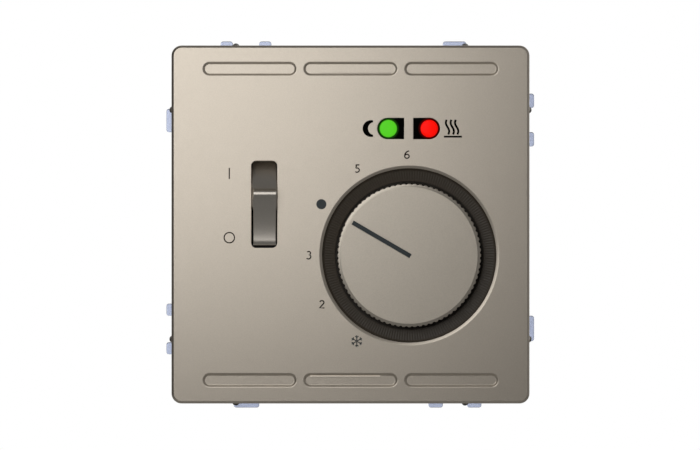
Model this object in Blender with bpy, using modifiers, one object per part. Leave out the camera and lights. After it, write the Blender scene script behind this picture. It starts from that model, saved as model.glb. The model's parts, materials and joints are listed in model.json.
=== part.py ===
"""Flush-mounted floor-heating thermostat, built as an assembly of separate pieces.

The wall surface is the plane y = 0. The front looks along -Y, +X is to the right and +Z is up.
Lengths are given in millimetres as (across, up, out): across is +X, up is +Z, and out is the
distance in front of the wall, negative behind it. The helpers turn them into metres.
"""

import math

import bmesh
import bpy
from mathutils import Matrix, Vector

MM = 0.001
GAP = 0.3
FINE_GAP = 0.1
MERGE = 0.00001
FRONT_VIEW = Matrix.Rotation(math.pi / 2, 4, "X")
SIDE_VIEW = Matrix(((0, 0, -1, 0), (-1, 0, 0, 0), (0, 1, 0, 0), (0, 0, 0, 1)))

# Cover plate
PLATE_SIDE = 70.6
PLATE_CORNER = 2.0
PLATE_EDGE = 0.35
COVER_FRONT = 11.0
COVER_BACK = 5.2
COVER_SKIN = 2.0
COVER_WALL = 1.6
POCKET_PITCH = 19.9
POCKET_UP = 30.7
POCKET_LENGTH = 18.4
POCKET_WIDTH = 2.66
POCKET_DEPTH = 0.5
NOSE_PLACE = 22.6
NOSE_WIDTH = 1.25
NOSE_STAND = 0.5
NOSE_BACK = 5.6
NOSE_FRONT = 7.4
LEG_PLACE = 12.0
LEG_WIDTH = 8.0
LEG_INNER = 29.3
LEG_OUTER = 30.5
LEG_BACK = 1.8
HOOK_INNER = 29.9
HOOK_OUTER = 31.7
HOOK_FRONT = 2.7

# Dial
DIAL_ACROSS = 11.58
DIAL_UP = -6.1
OPENING_RADIUS = 17.16
OPENING_CHAMFER = 0.5
KNOB_RADIUS = 14.2
KNOB_FACE_RADIUS = 13.65
KNOB_FRONT = 12.2
KNOB_BACK = 8.8
KNOB_WALL = 1.45
KNOB_FACE_WALL = 1.6
HUB_RADIUS = 4.3
SHAFT_RADIUS = 2.6
BORE_RADIUS = SHAFT_RADIUS + GAP
WELL_SHELF = 10.1
WELL_FLOOR = 8.4
WELL_BACK = 7.2
POINTER_ANGLE = 60.0
POINTER_WIDTH = 0.78
POINTER_TAIL = -0.4
POINTER_TIP = 12.5
POINTER_DEPTH = 0.5
STOP_RADIUS = 11.6
STOP_WIDTH = 2.0
PIN_RADIUS = 0.8
PIN_FRONT = 10.0
PIN_BACK = 7.3
LOW_PIN_ANGLE = 160.5
HIGH_PIN_ANGLE = -10.5
COVER_SCREW_DROP = 7.9
POT_RADIUS = 8.0
POT_WALL = 1.2
POT_FRONT = 1.5
POT_BACK = -5.0
BUSH_WALL = 1.0
BUSH_FRONT = 5.2

# Rocker: its crest turns about an axle behind the cover, tilted to the ON side at rest
ROCKER_ACROSS = -16.925
WINDOW_ACROSS = -17.0
WINDOW_UP = 3.96
WINDOW_WIDTH = 5.03
WINDOW_HEIGHT = 17.1
WINDOW_CORNER = 0.95
ROCKER_WIDTH = 4.48
ROCKER_AXLE_OUT = 2.6
ROCKER_TILT = 14.0
ROCKER_CREST = 10.75
ROCKER_CREST_SHIFT = -0.35
ROCKER_END_RADIUS = 11.58
ROCKER_TIP_ANGLE = 53.5
ROCKER_END_ANGLE = 60.0
ROCKER_DISH = 0.35
AXLE_RADIUS = 1.2
AXLE_LENGTH = 6.6
ROCKER_LEG_LENGTH = 5.2
PLUNGER_RADIUS = 0.8
SEESAW_TILT = 5.0
SEESAW_OUT = -4.4
SWITCH_HALF_WIDTH = 3.65
SWITCH_HALF_HEIGHT = 12.6
SWITCH_FRONT = 5.4
SWITCH_BACK = -8.4
CHAMBER_HALF_HEIGHT = 4.9

# Lamps: two black surrounds with one round end each, mirrored about the line between them
LAMP_ACROSS = 11.48
LAMP_UP = 18.92
LAMP_HEIGHT = 4.2
LAMP_REACH = 6.19
LAMP_INNER = 0.9
LAMP_PLACE = 4.03
LIGHT_RADIUS = 1.78
LIGHT_FRONT = 10.95
LIGHT_BACK = 8.0

# Clip frame and the steel plate behind it
CLIP_FRONT = 4.9
CLIP_BACK = 1.5
CLIP_SIDE = 68.4
CLIP_OPENING = 61.8
TAB_REACH = 36.3
TAB_CORNER = 0.4
TABS = ((-25.6, -23.2), (-18.0, -15.6), (18.2, 22.8))
STEEL_SIDE = 69.0
STEEL_CORNER_CUT = 9.0
STEEL = 1.2
STEEL_OPENING = 25.0
BOX_SCREW_RADIUS = 30.0
SLOT_LENGTH = 9.0
SLOT_WIDTH = 3.8

# Carrier, housing and boards
CARRIER_SIDE = 56.0
CARRIER_FRONT = 6.9
CARRIER_BACK = 1.5
CARRIER_WALL = 1.5
CARRIER_SKIN = 1.2
HOUSING_FLAT = 26.0
HOUSING_RADIUS = 28.2
HOUSING_WALL = 1.6
HOUSING_BACK = -27.0
BOARD = 1.6
CONTROL_BOARD_BACK = 1.8
POWER_BOARD_FRONT = -15.0
SCREW_RADIUS = 1.5
POST_WIDTH = 4.8
SCREW_PLACES = {"top": (-8.5, 19.3), "bottom": (-13.0, -18.6), "side": (20.3, 4.0)}
RELAY_UP = 11.4
TERMINALS = 6
TERMINAL_PITCH = 6.0
TERMINAL_LOW = -17.5
TERMINAL_HIGH = -7.5
TERMINAL_SCREW_UP = -10.3
TERMINAL_WIRE_UP = -14.8
RELAY_HALF_HEIGHT = 5.0
RELAY_LEFT = -9.0
RELAY_RIGHT = 11.0
RELAY_FRONT = -2.4
RELAY_WALL = 0.8
ARMATURE_ACROSS = 5.3
ARMATURE_HINGE_OUT = -12.6


def clear_scene():
    for old in list(bpy.data.objects):
        bpy.data.objects.remove(old)


def new_collection(name):
    made = bpy.data.collections.new(name)
    bpy.context.scene.collection.children.link(made)
    return made


def new_material(name, colour, roughness, metallic=0.0, alpha=1.0):
    made = bpy.data.materials.new(name)
    made.use_nodes = True
    shader = made.node_tree.nodes["Principled BSDF"]
    shader.inputs["Base Color"].default_value = (*colour, 1.0)
    shader.inputs["Roughness"].default_value = roughness
    shader.inputs["Metallic"].default_value = metallic
    shader.inputs["Alpha"].default_value = alpha
    made.diffuse_color = (*colour, alpha)
    return made


def at(across, up, out=0.0):
    """The world point, in metres, of a place given in millimetres."""
    return Vector((across, -out, up)) * MM


def add(name, mesh, finish, location, turn=FRONT_VIEW):
    """One piece of the thermostat, or a cutter where finish is None."""
    made = bpy.data.objects.new(name, mesh)
    made.matrix_world = Matrix.Translation(location) @ turn
    if finish is None:
        cutters.objects.link(made)
        made.hide_render = True
        made.display_type = "WIRE"
    else:
        parts.objects.link(made)
        mesh.materials.append(finish)
    return made


def boolean(target, operand, operation="DIFFERENCE"):
    step = target.modifiers.new(operand.name, "BOOLEAN")
    step.operation = operation
    step.solver = "EXACT"
    step.object = operand


def move_origin(piece, place):
    """Moves a piece's origin, such as onto its joint's axis, and leaves its shape where it is."""
    shift = piece.matrix_world.inverted() @ place
    piece.data.transform(Matrix.Translation(-shift))
    piece.matrix_world.translation = place


def smooth(mesh):
    mesh.shade_smooth()
    mesh.set_sharp_from_angle(angle=math.radians(35))


def box(name, finish, low, high):
    """A block between two corners, each (across, up, out)."""
    size = [b - a for a, b in zip(low, high)]
    middle = [(a + b) / 2 for a, b in zip(low, high)]
    shape = bmesh.new()
    bmesh.ops.create_cube(shape, size=1.0, matrix=Matrix.Diagonal((*[s * MM for s in size], 1)))
    mesh = bpy.data.meshes.new(name)
    shape.to_mesh(mesh)
    shape.free()
    return add(name, mesh, finish, at(*middle))


def rod(name, finish, centre, radius, length, axis="Y", sides=24):
    """A round bar about centre, along the world axis X, Y or Z."""
    turns = {"X": Matrix.Rotation(math.pi / 2, 4, "Y"), "Y": FRONT_VIEW, "Z": Matrix.Identity(4)}
    shape = bmesh.new()
    bmesh.ops.create_cone(
        shape, cap_ends=True, segments=sides, radius1=radius * MM, radius2=radius * MM, depth=length * MM
    )
    mesh = bpy.data.meshes.new(name)
    shape.to_mesh(mesh)
    shape.free()
    smooth(mesh)
    return add(name, mesh, finish, at(*centre), turns[axis])


def prism(name, finish, loops, back, front, turn=FRONT_VIEW, centre=(0.0, 0.0)):
    """A flat outline, with any holes as further loops, extruded from back to front."""
    curve = bpy.data.curves.new(name, "CURVE")
    curve.dimensions = "2D"
    curve.fill_mode = "BOTH"
    curve.extrude = (front - back) / 2 * MM
    for loop in loops:
        spline = curve.splines.new("POLY")
        spline.points.add(len(loop) - 1)
        for point, (first, second) in zip(spline.points, loop):
            point.co = (first * MM, second * MM, 0.0, 1.0)
        spline.use_cyclic_u = True
    outline = bpy.data.objects.new(name, curve)
    bpy.context.scene.collection.objects.link(outline)
    solid = outline.evaluated_get(bpy.context.evaluated_depsgraph_get())
    mesh = bpy.data.meshes.new_from_object(solid)
    bpy.data.objects.remove(outline)
    shape = bmesh.new()
    shape.from_mesh(mesh)
    bmesh.ops.remove_doubles(shape, verts=shape.verts, dist=MERGE)
    bmesh.ops.recalc_face_normals(shape, faces=shape.faces)
    shape.to_mesh(mesh)
    shape.free()
    smooth(mesh)
    if turn is FRONT_VIEW:
        return add(name, mesh, finish, at(*centre, (front + back) / 2))
    return add(name, mesh, finish, at((front + back) / 2, *centre), turn)


def turned(name, finish, profile, across, up, steps=48, ring=False):
    """A turned piece about an axis along the depth: profile is (radius, out), front to back outside."""
    points = [(radius * MM, 0.0, out * MM) for radius, out in profile]
    edges = [(i, i + 1) for i in range(len(points) - 1)]
    if ring:
        edges.append((len(points) - 1, 0))
    mesh = bpy.data.meshes.new(name)
    mesh.from_pydata(points, edges, [])
    made = add(name, mesh, finish, at(across, up))
    screw = made.modifiers.new("Turn", "SCREW")
    screw.axis = "Z"
    screw.angle = 2 * math.pi
    screw.steps = steps
    screw.render_steps = steps
    screw.use_merge_vertices = True
    screw.merge_threshold = MERGE
    screw.use_smooth_shade = True
    return made


def arc(across, up, radius, start, end, steps):
    """Points on an arc, with angles in degrees anticlockwise from +X."""
    angles = [math.radians(start + (end - start) * i / steps) for i in range(steps + 1)]
    return [(across + radius * math.cos(a), up + radius * math.sin(a)) for a in angles]


def circle(across, up, radius, sides=32):
    return arc(across, up, radius, 0, 360, sides)[:-1]


def rounded(across, up, width, height, corner, steps=4):
    """A rectangle with round corners about a centre."""
    half_width = width / 2 - corner
    half_height = height / 2 - corner
    loop = []
    for start, right, top in ((0, 1, 1), (90, -1, 1), (180, -1, -1), (270, 1, -1)):
        centre = (across + right * half_width, up + top * half_height)
        loop += arc(*centre, corner, start, start + 90, steps)
    return loop


def rectangle(left, right, low, high):
    return [(left, low), (right, low), (right, high), (left, high)]


def stadium(across, up, length, width):
    """A slot outline with round ends."""
    reach = (length - width) / 2
    radius = width / 2
    right = arc(across + reach, up, radius, -90, 90, 6)
    return right + arc(across - reach, up, radius, 90, 270, 6)


def flatted_circle(radius, flat):
    """A circle cut by four flats."""
    spread = math.degrees(math.acos(flat / radius))
    loop = []
    for quarter in range(4):
        start = 90 * quarter + spread
        loop += arc(0, 0, radius, start, start + 90 - 2 * spread, 6)
    return loop


def quarter_turns(loop):
    """The loop, and its copies turned clockwise by 90, 180 and 270 degrees."""
    copies = []
    for _ in range(4):
        copies.append(loop)
        loop = [(up, -across) for across, up in loop]
    return copies


def around_dial(angle, radius):
    """A place at this angle from the top of the dial, anticlockwise, and this distance from its axis."""
    turn = math.radians(angle)
    return DIAL_ACROSS - radius * math.sin(turn), DIAL_UP + radius * math.cos(turn)


def lamp_outline(side, grow):
    """A black surround, square towards the middle and round outside; side is -1 left, 1 right."""
    half = LAMP_HEIGHT / 2 + grow
    round_centre = LAMP_REACH - LAMP_HEIGHT / 2
    inner = LAMP_INNER - grow
    loop = [(inner, -half)] + arc(round_centre, 0, half, -90, 90, 10) + [(inner, half)]
    return [(LAMP_ACROSS + side * across, LAMP_UP + up) for across, up in loop]


def four_bars(width, inner, outer):
    """Two bars above the middle and two below, at the places of the cover's legs."""
    bars = []
    for across in (-LEG_PLACE, LEG_PLACE):
        left, right = across - width / 2, across + width / 2
        bars.append(rectangle(left, right, inner, outer))
        bars.append(rectangle(left, right, -outer, -inner))
    return bars


def make_cover(finish):
    """The cover: a shallow tray with its openings, vent pockets, snap noses and four legs."""
    outline = rounded(0, 0, PLATE_SIDE, PLATE_SIDE, PLATE_CORNER)
    cover = prism("cover_plate", finish, [outline], COVER_BACK, COVER_FRONT)
    edge = cover.modifiers.new("Edge", "BEVEL")
    edge.width = PLATE_EDGE * MM
    edge.segments = 2
    edge.limit_method = "ANGLE"
    edge.angle_limit = math.radians(60)
    inner = PLATE_SIDE - 2 * COVER_WALL
    hollow = [rounded(0, 0, inner, inner, 1.0)]
    boolean(cover, prism("cover_hollow", None, hollow, COVER_BACK - 1, COVER_FRONT - COVER_SKIN))
    noses = []
    for place in (-NOSE_PLACE, NOSE_PLACE):
        reach = PLATE_SIDE / 2 + NOSE_STAND
        left, right = place - NOSE_WIDTH / 2, place + NOSE_WIDTH / 2
        noses += quarter_turns(rectangle(left, right, PLATE_SIDE / 2 - COVER_WALL / 2, reach))
    boolean(cover, prism("cover_noses", None, noses, NOSE_BACK, NOSE_FRONT), "UNION")
    legs = four_bars(LEG_WIDTH, LEG_INNER, LEG_OUTER)
    boolean(cover, prism("cover_legs", None, legs, LEG_BACK, COVER_FRONT - COVER_SKIN / 2), "UNION")
    hooks = four_bars(LEG_WIDTH, HOOK_INNER, HOOK_OUTER)
    boolean(cover, prism("cover_hooks", None, hooks, LEG_BACK, HOOK_FRONT), "UNION")
    pockets = [
        stadium(place * POCKET_PITCH, up, POCKET_LENGTH, POCKET_WIDTH)
        for place in (-1, 0, 1)
        for up in (-POCKET_UP, POCKET_UP)
    ]
    front = COVER_FRONT + 1
    boolean(cover, prism("cover_pockets", None, pockets, COVER_FRONT - POCKET_DEPTH, front))
    back = COVER_FRONT - COVER_SKIN - 0.5
    wide = OPENING_RADIUS + OPENING_CHAMFER + 1
    throat = COVER_FRONT - OPENING_CHAMFER
    opening = [(0, front), (wide, front), (OPENING_RADIUS, throat), (OPENING_RADIUS, back), (0, back)]
    boolean(cover, turned("dial_opening", None, opening, DIAL_ACROSS, DIAL_UP, steps=48))
    window = [rounded(WINDOW_ACROSS, WINDOW_UP, WINDOW_WIDTH, WINDOW_HEIGHT, WINDOW_CORNER)]
    boolean(cover, prism("rocker_window", None, window, back, front))
    sweep = ROCKER_END_RADIUS + GAP
    axle = (WINDOW_ACROSS, WINDOW_UP, ROCKER_AXLE_OUT)
    boolean(cover, rod("rocker_sweep", None, axle, sweep, WINDOW_WIDTH, "X", 64))
    lamps = [lamp_outline(side, FINE_GAP) for side in (-1, 1)]
    boolean(cover, prism("lamp_openings", None, lamps, back, front))
    return cover


def make_dial_well(finish):
    """The dish that lines the dial opening and passes the shaft, the range pins and the cover screw."""
    rim = OPENING_RADIUS - GAP
    profile = [
        (KNOB_RADIUS + 0.35, WELL_SHELF),
        (rim - 0.2, COVER_FRONT - 0.6),
        (rim, COVER_FRONT - 0.8),
        (rim, COVER_FRONT - COVER_SKIN - GAP),
        (rim + 2, COVER_FRONT - COVER_SKIN - GAP),
        (rim + 2, WELL_BACK),
        (HUB_RADIUS + 0.9, WELL_BACK),
        (HUB_RADIUS + 0.9, WELL_FLOOR),
        (KNOB_RADIUS + 0.35, WELL_FLOOR),
    ]
    well = turned("dial_well", finish, profile, DIAL_ACROSS, DIAL_UP, steps=40, ring=True)
    holes = [
        circle(*around_dial(180, COVER_SCREW_DROP), SCREW_RADIUS + GAP, 16),
        circle(*around_dial(LOW_PIN_ANGLE, STOP_RADIUS), PIN_RADIUS + 0.2, 12),
        circle(*around_dial(HIGH_PIN_ANGLE, STOP_RADIUS), PIN_RADIUS + 0.2, 12),
    ]
    boolean(well, prism("well_holes", None, holes, WELL_BACK - 1, WELL_FLOOR + 1))


def make_range_pins(finish):
    for name, angle in (("limit_pin_low", LOW_PIN_ANGLE), ("limit_pin_high", HIGH_PIN_ANGLE)):
        pin = [
            (0, PIN_FRONT),
            (PIN_RADIUS - 0.2, PIN_FRONT),
            (PIN_RADIUS, PIN_FRONT - 0.2),
            (PIN_RADIUS, PIN_BACK),
            (0, PIN_BACK),
        ]
        turned(name, finish, pin, *around_dial(angle, STOP_RADIUS), steps=12)


def make_knob(finish):
    """The setting knob: a cup with a hub, a pointer groove and a stop rib inside."""
    inner = KNOB_RADIUS - KNOB_WALL
    face_back = KNOB_FRONT - KNOB_FACE_WALL
    hub_back = WELL_FLOOR - 0.8
    bore_front = face_back - 0.4
    profile = [
        (0, KNOB_FRONT),
        (KNOB_FACE_RADIUS, KNOB_FRONT),
        (KNOB_RADIUS, KNOB_FRONT - 0.6),
        (KNOB_RADIUS, KNOB_BACK),
        (inner, KNOB_BACK),
        (inner, face_back),
        (HUB_RADIUS, face_back),
        (HUB_RADIUS, hub_back),
        (BORE_RADIUS, hub_back),
        (BORE_RADIUS, bore_front),
        (0, bore_front),
    ]
    knob = turned("dial_knob", finish, profile, DIAL_ACROSS, DIAL_UP, steps=40)
    groove = pointer_outline(FINE_GAP / 2)
    depth = KNOB_FRONT - POINTER_DEPTH - FINE_GAP
    boolean(knob, prism("pointer_groove", None, [groove], depth, KNOB_FRONT + 1))
    rib = radial_outline(STOP_RADIUS - 1.0, inner + 0.5, STOP_WIDTH)
    boolean(knob, prism("knob_stop_rib", None, [rib], KNOB_BACK + 0.2, face_back + 0.5), "UNION")


def radial_outline(start, end, width):
    """A bar of this width along the pointer's direction, from start to end from the dial's axis."""
    turn = math.radians(POINTER_ANGLE)
    along = Vector((-math.sin(turn), math.cos(turn)))
    aside = Vector((along.y, -along.x)) * width / 2
    centre = Vector((DIAL_ACROSS, DIAL_UP))
    corners = (
        centre + along * start - aside,
        centre + along * end - aside,
        centre + along * end + aside,
        centre + along * start + aside,
    )
    return [tuple(corner) for corner in corners]


def pointer_outline(grow):
    return radial_outline(POINTER_TAIL - grow, POINTER_TIP + grow, POINTER_WIDTH + 2 * grow)


def make_pointer(finish):
    """The pointer inlay; its origin is on the dial's axis."""
    pointer = prism("pointer", finish, [pointer_outline(0)], KNOB_FRONT - POINTER_DEPTH, KNOB_FRONT)
    move_origin(pointer, at(DIAL_ACROSS, DIAL_UP))


def make_potentiometer(case_finish, track_finish, metal):
    """The setting potentiometer: case with its bush, resistive track, wiper and shaft."""
    bush = BORE_RADIUS + BUSH_WALL
    inside = POT_RADIUS - POT_WALL
    ceiling = POT_FRONT - BUSH_WALL - 0.1
    case = [
        (bush, BUSH_FRONT),
        (bush, POT_FRONT),
        (POT_RADIUS, POT_FRONT),
        (POT_RADIUS, POT_BACK),
        (inside, POT_BACK),
        (inside, ceiling),
        (BORE_RADIUS, ceiling),
        (BORE_RADIUS, BUSH_FRONT),
    ]
    turned("pot_case", case_finish, case, DIAL_ACROSS, DIAL_UP, steps=24, ring=True)
    rim = inside - GAP
    track = [(rim, POT_BACK + 0.9), (rim, POT_BACK + 0.1), (3.6, POT_BACK + 0.1), (3.6, POT_BACK + 0.9)]
    turned("pot_track", track_finish, track, DIAL_ACROSS, DIAL_UP, steps=24, ring=True)
    shaft = [(0, 9.8), (SHAFT_RADIUS - 0.3, 9.8), (SHAFT_RADIUS, 9.5), (SHAFT_RADIUS, -3.4), (0, -3.4)]
    shaft = turned("pot_shaft", case_finish, shaft, DIAL_ACROSS, DIAL_UP, steps=24)
    flat = rectangle(DIAL_ACROSS + 1.9, DIAL_ACROSS + 4, DIAL_UP - 4, DIAL_UP + 4)
    boolean(shaft, prism("shaft_flat", None, [flat], 7.8, 12))
    disc = [(5.2, -2.2), (5.2, -3.0), (BORE_RADIUS, -3.0), (BORE_RADIUS, -2.2)]
    wiper = turned("pot_wiper", metal, disc, DIAL_ACROSS, DIAL_UP, steps=24, ring=True)
    finger = (DIAL_ACROSS - 0.6, DIAL_UP + 3.8, -3.8), (DIAL_ACROSS + 0.6, DIAL_UP + 5.0, -2.6)
    boolean(wiper, box("wiper_finger", None, *finger), "UNION")


def rocker_point(angle, radius):
    """A point (out, up) of the rocker from its axle at rest; angle is from straight out, up is positive."""
    turn = math.radians(angle + ROCKER_TILT)
    return radius * math.cos(turn), radius * math.sin(turn)


def rocker_half(side):
    """Half of the rocker's outline, from its crest over the finger dish and the end to the hub."""
    crest = Vector((ROCKER_CREST, ROCKER_CREST_SHIFT * side))
    tip_turn = math.radians(ROCKER_TIP_ANGLE)
    tip = Vector((math.cos(tip_turn), math.sin(tip_turn))) * ROCKER_END_RADIUS
    chord = tip - crest
    inward = Vector((-chord.y, chord.x)).normalized()
    steps = 10
    points = []
    for i in range(steps + 1):
        share = i / steps
        point = crest + chord * share + inward * ROCKER_DISH * math.sin(math.pi * share)
        points.append((math.degrees(math.atan2(point.y, point.x)), point.length))
    points.append((ROCKER_END_ANGLE, ROCKER_END_RADIUS))
    points.append((60.7, 10.2))
    points.append((42.7, 3.54))
    return [rocker_point(side * angle, radius) for angle, radius in points]


def make_rocker(finish):
    """The rocker with its axle stubs and the leg that holds the plunger."""
    upper = rocker_half(1)
    lower = rocker_half(-1)
    hub = [rocker_point(angle, 2.4) for angle in (90, 120, 150, 180, 210, 240, 270)]
    outline = upper + hub + lower[:0:-1]
    centre = (WINDOW_UP, ROCKER_AXLE_OUT)
    sides = (ROCKER_ACROSS - ROCKER_WIDTH / 2, ROCKER_ACROSS + ROCKER_WIDTH / 2)
    rocker = prism("rocker", finish, [outline], *sides, turn=SIDE_VIEW, centre=centre)
    pivot = (ROCKER_ACROSS, WINDOW_UP, ROCKER_AXLE_OUT)
    boolean(rocker, rod("rocker_axle", None, pivot, AXLE_RADIUS, AXLE_LENGTH, "X", 20), "UNION")
    leg_corners = ((125, 1.83), (163.9, 5.41), (196.1, 5.41), (235, 1.83))
    leg = [rocker_point(angle, radius) for angle, radius in leg_corners]
    thick = (ROCKER_ACROSS - 1.9, ROCKER_ACROSS + 1.9)
    boolean(rocker, prism("rocker_leg", None, [leg], *thick, turn=SIDE_VIEW, centre=centre), "UNION")
    boolean(rocker, leg_rod("leg_bore", None, PLUNGER_RADIUS + 0.2, 0.4, ROCKER_LEG_LENGTH + 1))


def leg_rod(name, finish, radius, start, end):
    """A round bar inside the rocker's leg, between two distances behind the axle."""
    behind = math.radians(180 + ROCKER_TILT)
    direction = Vector((0, -math.cos(behind), math.sin(behind)))
    middle = (start + end) / 2
    bar = rod(name, finish, (ROCKER_ACROSS, WINDOW_UP, ROCKER_AXLE_OUT), radius, end - start, "Y", 16)
    bar.location += direction * middle * MM
    bar.rotation_euler.x = math.radians(90 - ROCKER_TILT)
    return bar


def make_switch(case_finish, plunger_finish, metal):
    """The switch behind the rocker: its case, see-saw contact, fulcrum, fixed contact and plunger."""
    left, right = ROCKER_ACROSS - SWITCH_HALF_WIDTH, ROCKER_ACROSS + SWITCH_HALF_WIDTH
    low, high = WINDOW_UP - SWITCH_HALF_HEIGHT, WINDOW_UP + SWITCH_HALF_HEIGHT
    case = box("switch_case", case_finish, (left, low, CARRIER_BACK), (right, high, SWITCH_FRONT))
    neck_low, neck_high = WINDOW_UP - CHAMBER_HALF_HEIGHT - 0.7, WINDOW_UP + CHAMBER_HALF_HEIGHT + 0.7
    neck = (left + 0.2, neck_low, SWITCH_BACK), (right - 0.2, neck_high, CARRIER_BACK + 0.5)
    boolean(case, box("switch_neck", None, *neck), "UNION")
    wide = ROCKER_WIDTH / 2 + GAP
    mouth_low = (ROCKER_ACROSS - wide, low + 0.5, SWITCH_FRONT - 0.9)
    mouth_high = (ROCKER_ACROSS + wide, high - 0.5, SWITCH_FRONT + 0.6)
    boolean(case, box("switch_mouth", None, mouth_low, mouth_high))
    chamber_low = (ROCKER_ACROSS - wide, WINDOW_UP - CHAMBER_HALF_HEIGHT, SWITCH_BACK + 1)
    chamber_high = (ROCKER_ACROSS + wide, WINDOW_UP + CHAMBER_HALF_HEIGHT, SWITCH_FRONT)
    boolean(case, box("switch_chamber", None, chamber_low, chamber_high))
    pivot = (ROCKER_ACROSS, WINDOW_UP, ROCKER_AXLE_OUT)
    boolean(case, rod("axle_holes", None, pivot, AXLE_RADIUS + GAP, 9, "X", 20))
    make_seesaw(metal)
    fulcrum = [(-7.1, -0.5), (-5.2, -0.5), (-4.75, 0), (-5.2, 0.5), (-7.1, 0.5)]
    thick = (ROCKER_ACROSS - 1.6, ROCKER_ACROSS + 1.6)
    prism("switch_fulcrum", metal, [fulcrum], *thick, turn=SIDE_VIEW, centre=(WINDOW_UP, 0))
    fixed = (ROCKER_ACROSS - 1.2, WINDOW_UP - 4.4, -7.1), (ROCKER_ACROSS + 1.2, WINDOW_UP - 2.2, -5.95)
    box("switch_fixed_contact", metal, *fixed)
    leg_rod("switch_plunger", plunger_finish, PLUNGER_RADIUS, 3.5, 6.0)
    make_plunger_spring(metal)


def make_seesaw(metal):
    """The see-saw contact on its fulcrum, tilted to the closed side, with its origin on the pivot."""
    profile = [(0.0, 3.8), (0.0, -2.4), (-0.8, -2.4), (-0.8, -3.8), (0.7, -3.8), (0.7, 3.8)]
    turn = math.radians(SEESAW_TILT)
    tilted = [
        (out * math.cos(turn) + up * math.sin(turn), up * math.cos(turn) - out * math.sin(turn))
        for out, up in profile
    ]
    thick = (ROCKER_ACROSS - 1.5, ROCKER_ACROSS + 1.5)
    prism("switch_seesaw", metal, [tilted], *thick, turn=SIDE_VIEW, centre=(WINDOW_UP, SEESAW_OUT))


def make_plunger_spring(metal):
    """The coil spring that presses the plunger out of the rocker's leg."""
    turns, steps, radius, start, end = 4, 8, 0.55, 0.75, 3.15
    behind = math.radians(180 + ROCKER_TILT)
    along = Vector((0, -math.cos(behind), math.sin(behind)))
    aside = Vector((1, 0, 0))
    across = along.cross(aside)
    pivot = at(ROCKER_ACROSS, WINDOW_UP, ROCKER_AXLE_OUT)
    curve = bpy.data.curves.new("switch_spring", "CURVE")
    curve.dimensions = "3D"
    curve.bevel_depth = 0.12 * MM
    curve.bevel_resolution = 1
    curve.use_fill_caps = True
    spline = curve.splines.new("POLY")
    count = turns * steps
    spline.points.add(count)
    for i in range(count + 1):
        angle = 2 * math.pi * i / steps
        ring = (aside * math.cos(angle) + across * math.sin(angle)) * radius * MM
        place = pivot + along * (start + (end - start) * i / count) * MM + ring
        spline.points[i].co = (*(place - pivot), 1.0)
    curve.materials.append(metal)
    spring = bpy.data.objects.new("switch_spring", curve)
    spring.location = pivot
    parts.objects.link(spring)


def make_lamps(window_finish, board_lamp, colours):
    """Black surrounds, coloured light guides and the lamps on the control board."""
    for side, place, colour in ((-1, "left", "green"), (1, "right", "red")):
        centre = LAMP_ACROSS + side * LAMP_PLACE
        outline = [lamp_outline(side, 0), circle(centre, LAMP_UP, LIGHT_RADIUS + FINE_GAP, 24)]
        window = prism(f"{place}_lamp_window", window_finish, outline, 8.2, COVER_FRONT - 0.05)
        rim = [lamp_outline(side, 0.75), circle(centre, LAMP_UP, LIGHT_RADIUS + FINE_GAP, 24)]
        boolean(window, prism(f"{place}_window_rim", None, rim, 7.5, 8.7), "UNION")
        guide = [
            (0, LIGHT_FRONT),
            (LIGHT_RADIUS - 0.15, LIGHT_FRONT),
            (LIGHT_RADIUS, LIGHT_FRONT - 0.15),
            (LIGHT_RADIUS, LIGHT_BACK),
            (0, LIGHT_BACK),
        ]
        turned(f"{colour}_light_guide", colours[colour], guide, centre, LAMP_UP, steps=20)
        lamp = [(0, 7.6), (0.8, 7.35), (1.5, 6.4), (1.5, 4.5), (1.8, 4.5), (1.8, 3.7), (0, 3.7)]
        turned(f"{colour}_lamp", board_lamp[colour], lamp, centre, LAMP_UP, steps=12)


def make_clip_frame(finish):
    """The translucent frame that holds the cover; its tabs reach out between the neighbours' tabs."""
    outline = rounded(0, 0, CLIP_SIDE, CLIP_SIDE, 2.5)
    opening = rounded(0, 0, CLIP_OPENING, CLIP_OPENING, 2.0)
    frame = prism("clip_frame", finish, [outline, opening], CLIP_BACK, CLIP_FRONT)
    tabs = []
    for left, right in TABS:
        middle, width = (left + right) / 2, right - left
        height = TAB_REACH - CLIP_SIDE / 2 + 1.2
        tabs += quarter_turns(rounded(middle, TAB_REACH - height / 2, width, height, TAB_CORNER, 1))
    boolean(frame, prism("clip_tabs", None, tabs, CLIP_BACK + 0.4, CLIP_FRONT - 0.6), "UNION")
    notches = four_bars(LEG_WIDTH + 1, CLIP_OPENING / 2 - GAP, HOOK_OUTER + 0.5)
    boolean(frame, prism("hook_notches", None, notches, CLIP_BACK - 1, HOOK_FRONT + 0.4))


def make_support_plate(finish):
    """The steel plate on the wall, with four slots for the wall box's screws."""
    half = STEEL_SIDE / 2
    short = half - STEEL_CORNER_CUT
    corners = [(half, -short), (half, short), (short, half), (-short, half)]
    outline = corners + [(-across, -up) for across, up in corners]
    loops = [outline, circle(0, 0, STEEL_OPENING, 48)]
    loops += quarter_turns(stadium(0, BOX_SCREW_RADIUS, SLOT_LENGTH, SLOT_WIDTH))
    prism("support_plate", finish, loops, 0.0, STEEL)


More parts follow.
